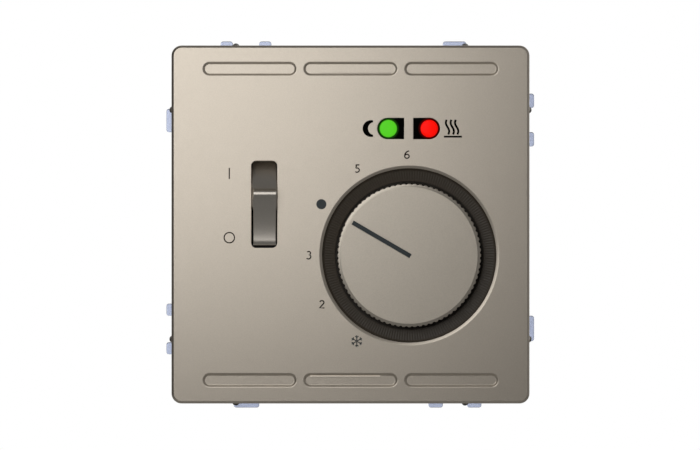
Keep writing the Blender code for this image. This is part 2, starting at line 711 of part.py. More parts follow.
def make_carrier(finish):
    """The moulded tray in front of the steel plate."""
    outline = rounded(0, 0, CARRIER_SIDE, CARRIER_SIDE, 2.0)
    carrier = prism("front_carrier", finish, [outline], CARRIER_BACK, CARRIER_FRONT)
    inner = CARRIER_SIDE - 2 * CARRIER_WALL
    hollow = [rounded(0, 0, inner, inner, 1.0)]
    boolean(carrier, prism("carrier_hollow", None, hollow, CARRIER_BACK - 1, CARRIER_FRONT - CARRIER_SKIN))
    mouth = WINDOW_WIDTH + 0.8
    holes = [
        circle(DIAL_ACROSS, DIAL_UP, BORE_RADIUS + 1.6, 24),
        rounded(ROCKER_ACROSS, WINDOW_UP, mouth, 24.8, 0.5, 1),
        circle(*around_dial(180, COVER_SCREW_DROP), SCREW_RADIUS + GAP, 16),
    ]
    holes += [circle(LAMP_ACROSS + side * LAMP_PLACE, LAMP_UP, 2.1, 16) for side in (-1, 1)]
    holes += [circle(*place, SCREW_RADIUS + GAP, 16) for place in SCREW_PLACES.values()]
    boolean(carrier, prism("carrier_holes", None, holes, CARRIER_BACK, CARRIER_FRONT + 1))
    heads = [circle(*place, 2.9, 16) for place in SCREW_PLACES.values()]
    boolean(carrier, prism("screw_seats", None, heads, CARRIER_FRONT - 0.7, CARRIER_FRONT + 1))


def make_housing(finish):
    """The case in the wall box, with screw posts and an opening for the terminals."""
    outline = flatted_circle(HOUSING_RADIUS, HOUSING_FLAT)
    housing = prism("rear_housing", finish, [outline], HOUSING_BACK, -GAP)
    inside = flatted_circle(HOUSING_RADIUS - HOUSING_WALL, HOUSING_FLAT - HOUSING_WALL)
    boolean(housing, prism("housing_hollow", None, [inside], HOUSING_BACK + HOUSING_WALL, 1))
    wall = HOUSING_FLAT - HOUSING_WALL / 2
    (top, bottom, side) = (SCREW_PLACES[key] for key in ("top", "bottom", "side"))
    half = POST_WIDTH / 2
    posts = [
        rectangle(top[0] - half, top[0] + half, top[1] - half, wall),
        rectangle(bottom[0] - half, bottom[0] + half, bottom[1] - 4.0, bottom[1] + half),
        rectangle(side[0] - half, wall, side[1] - half, side[1] + half),
    ]
    boolean(housing, prism("housing_posts", None, posts, POWER_BOARD_FRONT + GAP, -GAP - 0.2), "UNION")
    holes = [circle(*place, SCREW_RADIUS + 0.2, 16) for place in SCREW_PLACES.values()]
    boolean(housing, prism("post_holes", None, holes, -8.0, 1))
    reach = TERMINALS * TERMINAL_PITCH / 2 + GAP
    slot = rectangle(-reach, reach, TERMINAL_LOW - GAP, TERMINAL_HIGH + GAP)
    boolean(housing, prism("terminal_slot", None, [slot], HOUSING_BACK - 1, HOUSING_BACK + HOUSING_WALL + 1))


def make_screws(metal):
    """The three housing screws and the one that holds the cover, under the knob."""
    head_front = CARRIER_FRONT + 0.1
    for place, (across, up) in SCREW_PLACES.items():
        seat = CARRIER_FRONT - 0.6
        profile = [(0, head_front), (2.3, head_front), (2.5, head_front - 0.2), (2.5, seat)]
        profile += [(SCREW_RADIUS, seat), (SCREW_RADIUS, -6.6), (SCREW_RADIUS - 0.5, -7.4), (0, -7.4)]
        screw = turned(f"housing_screw_{place}", metal, profile, across, up, steps=12)
        cross_slot(screw, across, up, head_front, 3.0)
    across, up = around_dial(180, COVER_SCREW_DROP)
    head_front = 9.9
    seat = WELL_FLOOR + GAP
    profile = [(0, head_front), (1.9, head_front), (2.2, head_front - 0.4), (2.2, seat)]
    profile += [(SCREW_RADIUS, seat), (SCREW_RADIUS, 3.9), (0, 3.9)]
    cover_screw = turned("cover_screw", metal, profile, across, up, steps=12)
    cross_slot(cover_screw, across, up, head_front, 2.6)


def cross_slot(screw, across, up, front, length):
    """A cross recess in a screw's head."""
    reach = length / 2
    for arm_across, arm_up in ((0.35, reach), (reach, 0.35)):
        arm = rectangle(across - arm_across, across + arm_across, up - arm_up, up + arm_up)
        boolean(screw, prism(f"{screw.name}_recess", None, [arm], front - 0.5, front + 1))


def make_control_board(board_finish, chip_finish):
    """The board in the carrier, beside the switch, and its controller."""
    back = CONTROL_BOARD_BACK
    loops = [
        rectangle(-10.9, 25.9, -25.9, 25.9),
        circle(DIAL_ACROSS, DIAL_UP, BORE_RADIUS + 1.3, 24),
        circle(*SCREW_PLACES["top"], SCREW_RADIUS + GAP, 16),
        circle(*SCREW_PLACES["side"], SCREW_RADIUS + GAP, 16),
    ]
    prism("control_board", board_finish, loops, back, back + BOARD)
    chip = (-6.0, -18.0, back + BOARD + 0.15), (0.5, -13.0, back + BOARD + 1.75)
    box("controller_chip", chip_finish, *chip)
    box("board_link", chip_finish, (13.0, 8.0, POWER_BOARD_FRONT + GAP), (15.4, 16.0, back - GAP))


def make_power_parts(board_finish, plastics, metal, copper):
    """The power board in the housing and what stands on it."""
    inner = HOUSING_FLAT - HOUSING_WALL - GAP
    board = flatted_circle(HOUSING_RADIUS - HOUSING_WALL - GAP, inner)
    prism("power_board", board_finish, [board], POWER_BOARD_FRONT - BOARD, POWER_BOARD_FRONT)
    foot = POWER_BOARD_FRONT + GAP
    top = -3.0
    mains = box("mains_capacitor", plastics["yellow"], (-9.0, -22.5, foot), (9.0, -16.5, top))
    edge = mains.modifiers.new("Edge", "BEVEL")
    edge.width = 0.5 * MM
    edge.segments = 1
    can = [(0, top), (3.6, top), (4.0, top - 0.4), (4.0, foot), (0, foot)]
    turned("smoothing_capacitor", plastics["black"], can, -14.5, -7.6, steps=24)
    rod("varistor", plastics["blue"], (-5.0, -6.0, -10.9), 3.6, 3.0, "X", 24)
    rod("fuse", plastics["green"], (-1.0, -13.2, -12.6), 1.5, 9.0, "X", 16)
    make_relay(plastics, metal, copper, foot)


def make_relay(plastics, metal, copper, foot):
    """The heating relay: cover, base, coil and the armature on its hinge."""
    low, high = RELAY_UP - RELAY_HALF_HEIGHT, RELAY_UP + RELAY_HALF_HEIGHT
    cover = box("relay_cover", plastics["blue"], (RELAY_LEFT, low, foot), (RELAY_RIGHT, high, RELAY_FRONT))
    wall = RELAY_WALL
    hollow_low = (RELAY_LEFT + wall, low + wall, foot - 1)
    hollow_high = (RELAY_RIGHT - wall, high - wall, RELAY_FRONT - wall)
    boolean(cover, box("relay_hollow", None, hollow_low, hollow_high))
    wall += GAP
    base = (RELAY_LEFT + wall, low + wall, foot), (RELAY_RIGHT - wall, high - wall, foot + 1.4)
    box("relay_base", plastics["black"], *base)
    coil = rod("relay_coil", copper, (-1.9, RELAY_UP, -8.0), 3.0, 11.0, "X", 20)
    for across in (-6.95, 3.15):
        boolean(coil, rod("coil_cheek", None, (across, RELAY_UP, -8.0), 3.7, 0.9, "X", 20), "UNION")
    pivot = (ARMATURE_ACROSS, RELAY_UP, ARMATURE_HINGE_OUT)
    plate = (ARMATURE_ACROSS - 0.4, RELAY_UP - 3.2, pivot[2]), (ARMATURE_ACROSS + 0.4, RELAY_UP + 3.2, -3.9)
    armature = box("relay_armature", metal, *plate)
    move_origin(armature, at(*pivot))


def make_terminals(block_finish, metal):
    """The terminal block at the back, with a clamp plate and a screw for each wire."""
    back = HOUSING_BACK
    half = TERMINALS * TERMINAL_PITCH / 2
    block = box("terminal_block", block_finish, (-half, TERMINAL_LOW, back), (half, TERMINAL_HIGH, -16.9))
    places = [(i - (TERMINALS - 1) / 2) * TERMINAL_PITCH for i in range(TERMINALS)]
    entries = [rectangle(x - 1.8, x + 1.8, TERMINAL_WIRE_UP - 1.8, TERMINAL_WIRE_UP + 1.8) for x in places]
    entries += [circle(x, TERMINAL_SCREW_UP, 2.25, 12) for x in places]
    boolean(block, prism("terminal_entries", None, entries, back - 1, back + 4))
    chambers = [rectangle(x - 2.4, x + 2.4, TERMINAL_LOW + 0.7, TERMINAL_HIGH - 0.5) for x in places]
    boolean(block, prism("terminal_chambers", None, chambers, back + 2.6, back + 8.6))
    for number, across in enumerate(places, start=1):
        plate = rectangle(across - 2.0, across + 2.0, TERMINAL_LOW + 1.1, TERMINAL_HIGH - 0.9)
        hole = circle(across, TERMINAL_SCREW_UP, SCREW_RADIUS + 0.25, 12)
        prism(f"terminal_clamp_{number}", metal, [plate, hole], back + 4.4, back + 5.4)
        profile = [(0, back + 8.0), (1.2, back + 8.0), (SCREW_RADIUS, back + 7.6), (SCREW_RADIUS, back + 2.4)]
        profile += [(1.95, back + 2.4), (1.95, back + 0.6), (0, back + 0.6)]
        screw = turned(f"terminal_screw_{number}", metal, profile, across, TERMINAL_SCREW_UP, steps=12)
        slot = rectangle(across - 2.5, across + 2.5, TERMINAL_SCREW_UP - 0.3, TERMINAL_SCREW_UP + 0.3)
        boolean(screw, prism(f"screw_slot_{number}", None, [slot], back, back + 1.3))


clear_scene()
parts = new_collection("wall_thermostat")
cutters = new_collection("cutters")

nickel = new_material("satin_nickel", (0.40, 0.36, 0.30), 0.38, metallic=0.75)
rocker_lacquer = new_material("rocker_lacquer", (0.32, 0.29, 0.25), 0.34, metallic=0.75)
well_plastic = new_material("dark_bronze_plastic", (0.035, 0.030, 0.025), 0.5)
slate = new_material("slate_print", (0.045, 0.055, 0.062), 0.45)
black_gloss = new_material("black_gloss", (0.006, 0.006, 0.007), 0.12)
clear_blue = new_material("clear_blue_plastic", (0.70, 0.80, 0.93), 0.2, alpha=0.6)
steel = new_material("zinc_plated_steel", (0.58, 0.58, 0.56), 0.35, metallic=1.0)
brass = new_material("nickel_plated_brass", (0.66, 0.60, 0.45), 0.3, metallic=1.0)
copper_wire = new_material("enamelled_copper", (0.60, 0.26, 0.12), 0.35, metallic=0.9)
grey_plastic = new_material("grey_plastic", (0.30, 0.31, 0.32), 0.5)
black_plastic = new_material("black_plastic", (0.02, 0.02, 0.022), 0.45)
board_green = new_material("board_green", (0.03, 0.16, 0.07), 0.4)
green_light = new_material("green_lens", (0.10, 0.62, 0.04), 0.15)
red_light = new_material("red_lens", (0.85, 0.02, 0.01), 0.15)
green_epoxy = new_material("green_epoxy", (0.12, 0.45, 0.10), 0.2)
red_epoxy = new_material("red_epoxy", (0.60, 0.03, 0.02), 0.2)
relay_blue = new_material("relay_blue", (0.05, 0.16, 0.40), 0.3)
capacitor_yellow = new_material("capacitor_yellow", (0.75, 0.50, 0.06), 0.4)
fuse_green = new_material("fuse_green", (0.16, 0.30, 0.18), 0.4)
inner_plastics = {"yellow": capacitor_yellow, "black": black_plastic, "blue": relay_blue, "green": fuse_green}

make_cover(nickel)
make_dial_well(well_plastic)
make_range_pins(black_plastic)
make_knob(nickel)
make_pointer(slate)
make_potentiometer(black_plastic, copper_wire, brass)
make_rocker(rocker_lacquer)
make_switch(black_plastic, grey_plastic, brass)
make_lamps(
    black_gloss,
    {"green": green_epoxy, "red": red_epoxy},
    {"green": green_light, "red": red_light},
)
make_clip_frame(clear_blue)
make_support_plate(steel)
make_carrier(grey_plastic)
make_housing(grey_plastic)
make_screws(steel)
make_control_board(board_green, black_plastic)
make_power_parts(board_green, inner_plastics, brass, copper_wire)
make_terminals(grey_plastic, brass)
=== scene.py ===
"""Looks of the flush-mounted floor-heating thermostat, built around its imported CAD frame.

Places are given as (across, up, out) in millimetres: across is +X, up is +Z, and out is the distance
in front of the wall plane y = 0. Outlines are functions of how far they grow, so that a rounded edge
is the same outline at a few sizes and depths.
"""

import json
import math

import bmesh
import bpy
from mathutils import Matrix, Vector


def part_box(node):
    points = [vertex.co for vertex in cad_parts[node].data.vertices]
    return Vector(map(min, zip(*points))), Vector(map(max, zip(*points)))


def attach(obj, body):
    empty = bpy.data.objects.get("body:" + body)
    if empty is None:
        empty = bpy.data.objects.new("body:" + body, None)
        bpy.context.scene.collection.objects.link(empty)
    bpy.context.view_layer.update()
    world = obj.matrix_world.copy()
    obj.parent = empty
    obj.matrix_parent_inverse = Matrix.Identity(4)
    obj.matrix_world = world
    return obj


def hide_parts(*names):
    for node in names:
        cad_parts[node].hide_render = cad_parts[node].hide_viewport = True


MM = 0.001

# Shared by all pieces: the flat ring beside a lip, the angle from which an edge is sharp, the angle and
# width of the CAD nodes' eased edges, and half the thickness of a printed mark
SUPPORT = 0.04
SHARP_ANGLE = 32.0
EDGE_ANGLE = 40.0
EDGE_WIDTH = 0.08
PRINT_HALF = 0.02

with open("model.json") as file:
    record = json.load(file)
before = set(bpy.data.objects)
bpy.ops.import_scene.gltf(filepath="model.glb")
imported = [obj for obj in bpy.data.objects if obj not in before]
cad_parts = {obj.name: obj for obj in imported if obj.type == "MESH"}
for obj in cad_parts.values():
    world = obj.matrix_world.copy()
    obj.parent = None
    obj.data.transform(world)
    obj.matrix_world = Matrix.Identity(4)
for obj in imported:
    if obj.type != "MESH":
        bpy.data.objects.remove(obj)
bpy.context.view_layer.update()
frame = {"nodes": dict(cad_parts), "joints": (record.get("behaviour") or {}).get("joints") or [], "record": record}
joints = {joint["name"]: joint for joint in frame["joints"]}


def at(across, up, out=0.0):
    """A point in metres from a place in millimetres."""
    return Vector((across, -out, up)) * MM


def depths(node):
    """How far out a CAD node's back and front are, in millimetres."""
    low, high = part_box(node)
    return -high.y / MM, -low.y / MM


def right_end(node):
    """How far to the right a CAD node reaches, in millimetres."""
    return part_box(node)[1].x / MM


def joint_place(name):
    """Where a joint's axis crosses the view from the front, and how far out it is."""
    x, y, z = joints[name]["pos_m"]
    return x / MM, z / MM, -y / MM


# Places read from the frame
DIAL_ACROSS, DIAL_UP, _ = joint_place("dial_turn")
ROCKER_ACROSS, ROCKER_UP, ROCKER_AXLE = joint_place("rocker_tilt")
FRONT = depths("cover_plate")[1]
KNOB_FOOT, KNOB_FRONT = depths("dial_knob")

# Cover
SKIRT_BACK = 5.2
SKIN_BACK = FRONT - 2.0
PLATE_SIDE = 70.6
PLATE_CORNER = 2.0
PLATE_RIM = 0.46
PLATE_RIM_DROP = 0.58
PLATE_WALL = 1.6
POCKET_PITCH = 19.9
POCKET_UP = 30.7
POCKET_LENGTH = 18.4
POCKET_WIDTH = 2.6
POCKET_DEPTH = 0.36
OPENING_RADIUS = 17.16
OPENING_CHAMFER = 0.55
OPENING_CHAMFER_DEPTH = 0.215
WINDOW_ACROSS = -17.0
WINDOW_WIDTH = 5.03
WINDOW_HEIGHT = 17.1
WINDOW_CORNER = 0.95
NOSE_PLACE = 22.6
NOSE_RADIUS = 0.72
NOSE_REACH = 0.42
LEG_PLACE = 12.0
LEG_WIDTH = 8.0

# Dial
KNOB_RADIUS = 14.19
KNOB_FACE_RADIUS = 13.5
KNOB_BACK = 8.8
KNOB_INSIDE_RADIUS = 12.8
KNOB_HUB_RADIUS = 4.3
KNOB_BORE_RADIUS = 2.9
FLUTES = 80
FLUTE_DEPTH = 0.24
FLUTE_SHARE = 0.5
PLAIN_HALF_ANGLE = 4.5
POINTER_ANGLE = 59.8
POINTER_WIDTH = 0.88
POINTER_TAIL = -0.3
POINTER_TIP = 12.92
WELL_RIBS = 200
WELL_RIB_HEIGHT = 0.03
WELL_FLOOR = 8.4
WELL_STEP_RADIUS = 14.6
WELL_HOLE_RADIUS = 5.2

# Rocker, as polar places about its axle; it rests tilted to the ON side. The dishes are the depth of a
# cubic, or for the upper one of a curve that curls up close to the crest
ROCKER_WIDTH = 4.48
ROCKER_EDGE = 0.14
ROCKER_RIDGE_RADIUS = 0.9
ROCKER_HUB_RADIUS = 2.4
ROCKER_AXLE_RADIUS = 1.2
ROCKER_AXLE_REACH = 3.3
ROCKER_LEG_HALF = 1.9
ROCKER_TILT = 14.0
ROCKER_CREST = 10.75
ROCKER_CREST_SHIFT = -0.35
ROCKER_END_RADIUS = 11.55
ROCKER_TIP_ANGLE = 55.6
ROCKER_UPPER_DISH = 0.75
ROCKER_UPPER_CURL = 6
ROCKER_LOWER_DISH = 0.95

# Lamps and printed marks
LAMP_ACROSS = 11.48
LAMP_UP = 18.92
LAMP_HEIGHT = 4.2
LAMP_REACH = 6.19
LAMP_INNER = 0.9
LAMP_PLACE = 4.03
LAMP_BACK = 7.5
LIGHT_RADIUS = 1.69
LENS_BACK = 8.0
LENS_DOME = 0.26
SCALE_ACROSS = 11.4
SCALE_UP = -5.9
SCALE_RADIUS = 19.8
DIGIT_ANGLES = {6: 0.8, 5: 30.6, 3: 90.4, 2: 120}
DIGIT_HEIGHT = 1.66
DIGIT_WIDENING = 1.14
DIGIT_STROKE = 0.25
DOT_ANGLE = 60
DOT_RADIUS = 1.0
FROST_ANGLE = 149.3
FROST_ARM = 1.16
FROST_BARB = 0.44
SWITCH_MARKS_ACROSS = -23.9
SWITCH_STROKE = 0.24
ON_MARK = (8.97, 11.16)
OFF_MARK_UP = -2.6
OFF_MARK_RADIUS = 1.02
WAVE_STARTS = (18.98, 19.92, 20.78)
WAVE_STROKE = 0.41
WAVE_TOP = 1.74
WAVE_HEIGHT = 2.92
WAVE_LEAN = 0.30
WAVE_SWAY = 0.24
FLOOR_LINE = (18.41, 21.97)
FLOOR_LINE_DROP = 1.6
FLOOR_LINE_STROKE = 0.36

# Clip frame and steel plate
CLIP_SIDE = 68.4
CLIP_OPENING = 61.8
STEEL_CORNER_CUT = 9.0
STEEL_HOLE_RADIUS = 25.0
STEEL_SLOT_PLACE = 30
STEEL_SLOT_LENGTH = 9.0
STEEL_SLOT_WIDTH = 3.8

# Stage
VIEW_WIDTH = 138.04
VIEW_CENTRE = (-0.1, -0.1)
FLOOR_HEIGHT = -0.19
FLOOR_HALF = 1.5
STUDIO_BANDS = ((0.0, 0.095), (0.25, 0.09), (0.38, 0.13), (0.82, 0.13), (0.93, 1.0))
STUDIO_LEFT = 0.02
STUDIO_RIGHT = 2.15
KEY_PLACE = (-89, 89, 170)
KEY_SIDE = 208
KEY_POWER = 0.214


# --- Outlines -----------------------------------------------------------------------------


def arc(across, up, radius, start, end, steps):
    """Points on an arc, with angles in degrees anticlockwise from +X."""
    angles = [math.radians(start + (end - start) * i / steps) for i in range(steps + 1)]
    return [(across + radius * math.cos(a), up + radius * math.sin(a)) for a in angles]


def circle(across, up, radius, sides=96):
    """A circle about a centre."""
    return lambda grow: arc(across, up, radius + grow, 0, 360, sides)[:-1]


def rounded(across, up, width, height, corner, steps=8):
    """A rectangle with round corners about a centre."""

    def outline(grow):
        half_width = width / 2 - corner
        half_height = height / 2 - corner
        loop = []
        for start, right, top in ((0, 1, 1), (90, -1, 1), (180, -1, -1), (270, 1, -1)):
            centre = (across + right * half_width, up + top * half_height)
            loop += arc(*centre, corner + grow, start, start + 90, steps)
        return loop

    return outline


def stadium(across, up, length, width, upright=False, steps=16):
    """A slot with round ends."""

    def outline(grow):
        reach = (length - width) / 2
        radius = width / 2 + grow
        if upright:
            top = arc(across, up + reach, radius, 0, 180, steps)
            return top + arc(across, up - reach, radius, 180, 360, steps)
        right = arc(across + reach, up, radius, -90, 90, steps)
        return right + arc(across - reach, up, radius, 90, 270, steps)

    return outline


def lamp_surround(side):
    """A lamp's black surround, square towards the middle and round outside."""

    def outline(grow):
        half = LAMP_HEIGHT / 2 + grow
        round_centre = LAMP_REACH - LAMP_HEIGHT / 2
        inner = LAMP_INNER - grow
        loop = [(inner, -half)] + arc(round_centre, 0, half, -90, 90, 24) + [(inner, half)]
        loop = [(LAMP_ACROSS + side * across, LAMP_UP + up) for across, up in loop]
        return loop[::side]

    return outline


def bar_along(start, end, width, angle):
    """A bar from the dial's axis at this angle from its top, anticlockwise."""

    def outline(grow):
        turn = math.radians(angle)
        along = Vector((-math.sin(turn), math.cos(turn)))
        aside = Vector((along.y, -along.x)) * (width / 2 + grow)
        centre = Vector((DIAL_ACROSS, DIAL_UP))
        near = centre + along * (start - grow)
        far = centre + along * (end + grow)
        return [tuple(p) for p in (near + aside, far + aside, far - aside, near - aside)]

    return outline


def polar(angle, radius):
    """A place on the scale at this angle from its top, anticlockwise."""
    turn = math.radians(angle)
    return SCALE_ACROSS - radius * math.sin(turn), SCALE_UP + radius * math.cos(turn)


def quarter(edge, steps=4):
    """A rounded edge as (grow, depth) pairs, from the face down to the wall of a hole."""
    angles = [math.pi / 2 * i / steps for i in range(steps + 1)]
    return [(edge * (1 - math.sin(a)), edge * (1 - math.cos(a))) for a in angles]


def hole_edge(edge, front, steps=4):
    """A hole's rounded lip, with a narrow flat ring round it that keeps the face's shading flat."""
    return [(edge + SUPPORT, front)] + [(grow, front - depth) for grow, depth in quarter(edge, steps)]


def rim_edge(edge, front):
    """The same lip round the outside of a face."""
    return [(-grow, out) for grow, out in hole_edge(edge, front)]


def back_edge(edge, back):
    """The lip round the back of a wall, from the wall to the back face."""
    return [(grow, 2 * back - out) for grow, out in reversed(rim_edge(edge, back))]


# --- Meshes -------------------------------------------------------------------------------


class Shell:
    """A closed surface made of rings, the walls between them and flat faces with holes."""

    def __init__(self, place=at):
        self.shape = bmesh.new()
        self.place = place

    def ring(self, loop, out):
        """A ring of corners at one depth."""
        return [self.shape.verts.new(self.place(*point, out)) for point in loop]

    def wall(self, first, second):
        """The wall between two rings with as many corners."""
        for i in range(len(first)):
            self.shape.faces.new((first[i - 1], first[i], second[i], second[i - 1]))

    def run(self, outline, levels):
        """Walls through an outline's (grow, out) levels; returns the first and the last ring."""
        rings = [self.ring(outline(grow), out) for grow, out in levels]
        for first, second in zip(rings, rings[1:]):
            self.wall(first, second)
        return rings[0], rings[-1]

    def face(self, *rings):
        """A flat face between rings: the outer one and any holes."""
        edges = []
        for ring in rings:
            for i in range(len(ring)):
                pair = (ring[i - 1], ring[i])
                edges.append(self.shape.edges.get(pair) or self.shape.edges.new(pair))
        bmesh.ops.triangle_fill(self.shape, use_beauty=True, use_dissolve=False, edges=edges)

    def piece(self, name, finish, body, slot, replaces=()):
        """Makes the finished piece, shades it and hands it to the frame."""
        bmesh.ops.recalc_face_normals(self.shape, faces=self.shape.faces)
        mesh = bpy.data.meshes.new(name)
        self.shape.to_mesh(mesh)
        self.shape.free()
        mesh.materials.append(finish)
        mesh.shade_smooth()
        mesh.set_sharp_from_angle(angle=math.radians(SHARP_ANGLE))
        piece = bpy.data.objects.new(name, mesh)
        bpy.context.scene.collection.objects.link(piece)
        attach(piece, body)
        if replaces:
            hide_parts(*replaces)


def slab(name, finish, slot, outline, holes, back, front, edge, replaces=()):
    """A plate with rounded edges and holes through it."""
    shell = Shell()
    levels = rim_edge(edge, front) + back_edge(edge, back)
    hole_levels = [(-grow, out) for grow, out in levels]
    ends = [shell.run(outline, levels)] + [shell.run(hole, hole_levels) for hole in holes]
    fronts, backs = zip(*ends)
    shell.face(*fronts)
    shell.face(*backs)
    shell.piece(name, finish, "insert", slot, replaces)


# --- Materials ----------------------------------------------------------------------------


class Finish:
    """A Principled material whose colour, roughness and relief come from noise at stated scales."""

    def __init__(self, name, colour, roughness, metallic=0.0, **sockets):
        self.made = bpy.data.materials.new(name)
        self.made.use_nodes = True
        self.nodes = self.made.node_tree.nodes
        self.links = self.made.node_tree.links
        self.shader = self.nodes["Principled BSDF"]
        self.colour = colour
        self.roughness = roughness
        self.shader.inputs["Base Color"].default_value = (*colour, 1)
        self.shader.inputs["Roughness"].default_value = roughness
        self.shader.inputs["Metallic"].default_value = metallic
        for socket, value in sockets.items():
            self.shader.inputs[socket.replace("_", " ")].default_value = value
        self.coordinates = self.nodes.new("ShaderNodeTexCoord")

    def noise(self, scale, detail=2.0, stretch=(1, 1, 1)):
        """Noise with this many features a metre, stretched along the axes if asked."""
        mapping = self.nodes.new("ShaderNodeMapping")
        mapping.inputs["Scale"].default_value = stretch
        texture = self.nodes.new("ShaderNodeTexNoise")
        texture.inputs["Scale"].default_value = scale
        texture.inputs["Detail"].default_value = detail
        self.links.new(self.coordinates.outputs["Object"], mapping.inputs["Vector"])
        self.links.new(mapping.outputs["Vector"], texture.inputs["Vector"])
        return texture.outputs["Fac"]

    def ranged(self, value, low, high):
        """Spreads noise, which keeps near its middle, over a range."""
        node = self.nodes.new("ShaderNodeMapRange")
        node.inputs["From Min"].default_value = 0.3
        node.inputs["From Max"].default_value = 0.7
        node.inputs["To Min"].default_value = low
        node.inputs["To Max"].default_value = high
        self.links.new(value, node.inputs["Value"])
        return node.outputs["Result"]

    def tint(self, scale, spread, detail=3.0, stretch=(1, 1, 1)):
        """Lets the colour wander by spread, as a share of itself."""
        mix = self.nodes.new("ShaderNodeMix")
        mix.data_type = "RGBA"
        mix.inputs["A"].default_value = (*[c * (1 - spread) for c in self.colour], 1)
        mix.inputs["B"].default_value = (*[min(1.0, c * (1 + spread)) for c in self.colour], 1)
        share = self.ranged(self.noise(scale, detail, stretch), 0.0, 1.0)
        self.links.new(share, mix.inputs["Factor"])
        self.links.new(mix.outputs["Result"], self.shader.inputs["Base Color"])
        return self

    def vary_roughness(self, scale, spread, stretch=(1, 1, 1)):
        """Lets the roughness wander by spread to either side."""
        wander = self.noise(scale, 3.0, stretch)
        value = self.ranged(wander, self.roughness - spread, self.roughness + spread)
        self.links.new(value, self.shader.inputs["Roughness"])
        return self

    def relief(self, scale, height, detail=2.0, stretch=(1, 1, 1)):
        """Surface relief of this height in millimetres."""
        bump = self.nodes.new("ShaderNodeBump")
        bump.inputs["Strength"].default_value = 1.0
        bump.inputs["Distance"].default_value = height * MM
        self.links.new(self.noise(scale, detail, stretch), bump.inputs["Height"])
        self.links.new(bump.outputs["Normal"], self.shader.inputs["Normal"])
        return self

    def glow(self, across, up, radius, colour, strength):
        """Light that shows through the plastic round a place on the front and fades out at a radius."""
        mapping = self.nodes.new("ShaderNodeMapping")
        reach = radius * MM
        mapping.inputs["Location"].default_value = (-across * MM / reach, 0, -up * MM / reach)
        mapping.inputs["Scale"].default_value = (1 / reach, 0, 1 / reach)
        self.links.new(self.coordinates.outputs["Object"], mapping.inputs["Vector"])
        gradient = self.nodes.new("ShaderNodeTexGradient")
        gradient.gradient_type = "SPHERICAL"
        self.links.new(mapping.outputs["Vector"], gradient.inputs["Vector"])
        fade = self.nodes.new("ShaderNodeMapRange")
        fade.interpolation_type = "SMOOTHSTEP"
        fade.inputs["From Max"].default_value = 1 - LIGHT_RADIUS / radius
        fade.inputs["To Max"].default_value = strength
        self.links.new(gradient.outputs["Fac"], fade.inputs["Value"])
        self.links.new(fade.outputs["Result"], self.shader.inputs["Emission Strength"])
        self.shader.inputs["Emission Color"].default_value = (*colour, 1)
        return self


def moulded(name, colour, roughness, **sockets):
    """Moulded plastic with a fine spark-eroded grain."""
    finish = Finish(name, colour, roughness, **sockets)
    return finish.tint(900, 0.06).vary_roughness(700, 0.05).relief(6000, 0.004).made


def plated(name, colour, roughness):
    """Plated sheet metal with faint rolling marks."""
    finish = Finish(name, colour, roughness, 1.0)
    finish.tint(350, 0.10, stretch=(1, 1, 9))
    finish.vary_roughness(500, 0.08, (1, 1, 12))
    return finish.relief(2500, 0.0015, stretch=(1, 1, 14)).made


def lacquer(name, colour, roughness):
    """Metallic lacquer: fine flakes under a thin satin clear coat."""
    finish = Finish(name, colour, roughness, 0.92, Coat_Weight=0.12, Coat_Roughness=0.35)
    return finish.tint(5200, 0.035, 1.0).vary_roughness(2600, 0.02).relief(9000, 0.0006).made


def lens(name, colour, glow):
    """A lit lens: clear coloured plastic with light from inside."""
    finish = Finish(name, colour, 0.25, 0.0, Specular_IOR_Level=0.08)
    finish.shader.inputs["Emission Color"].default_value = (*colour, 1)
    finish.shader.inputs["Emission Strength"].default_value = glow
    return finish.tint(700, 0.05).made


def translucent(name, colour):
    """Pale clear polycarbonate."""
    finish = Finish(name, colour, 0.16, 0.0, Transmission_Weight=0.72, IOR=1.5)
    return finish.tint(60, 0.03).vary_roughness(150, 0.04).relief(120, 0.003).made


def surround_black(name, side, light, strength):
    """Glossy black plastic that lets a little of its lamp's light through round the lens."""
    finish = Finish(name, (0.0006, 0.0008, 0.0006), 0.12, Specular_IOR_Level=0.01)
    finish.tint(900, 0.06).vary_roughness(700, 0.05).relief(6000, 0.004)
    across = LAMP_ACROSS + side * LAMP_PLACE
    return finish.glow(across, LAMP_UP, LIGHT_RADIUS + 0.55, light, strength).made


NICKEL = lacquer("satin_nickel", (0.622, 0.556, 0.469), 0.40)
KNOB_NICKEL = lacquer("knob_nickel", (0.585, 0.527, 0.445), 0.40)
# The rocker's lacquer is the cover's nickel made darker: painted shade of the window recess the rocker sits in.
ROCKER_SHADED_LACQUER = lacquer("rocker_lacquer", (0.52, 0.48, 0.425), 0.30)
# Dark plastic for the dial's dish and the snap noses. On the noses the darkness is only painted shade; on the dish
# it is partly its own colour and partly painted shade of the recess.
PAINTED_SHADE_PLASTIC = moulded("dark_bronze_plastic", (0.046, 0.034, 0.021), 0.5)
SLATE = moulded("slate_print", (0.045, 0.055, 0.058), 0.6, Specular_IOR_Level=0.4)
INK = moulded("dark_ink", (0.036, 0.026, 0.021), 0.7, Specular_IOR_Level=0.1)
BLACK_INK = moulded("black_ink", (0.001, 0.001, 0.001), 0.7, Specular_IOR_Level=0.02)
LEFT_GLOSS = surround_black("left_gloss", -1, (0.09, 0.58, 0.02), 0.12)
RIGHT_GLOSS = surround_black("right_gloss", 1, (0.86, 0.005, 0.002), 0.10)
GREEN_LENS = lens("green_lens", (0.085, 0.58, 0.018), 0.62)
RED_LENS = lens("red_lens", (0.86, 0.005, 0.002), 0.72)
CLEAR_BLUE = translucent("clear_blue_plastic", (0.69, 0.76, 1.0))
ZINC = plated("zinc_plated_steel", (0.62, 0.62, 0.60), 0.34)
BRASS = plated("nickel_plated_brass", (0.70, 0.62, 0.42), 0.28)
COPPER = Finish("enamelled_copper", (0.55, 0.20, 0.08), 0.3, 0.9).tint(4000, 0.2, stretch=(9, 1, 1)).made
GREY = moulded("grey_plastic", (0.20, 0.205, 0.21), 0.5)
BLACK = moulded("black_plastic", (0.015, 0.015, 0.016), 0.42)
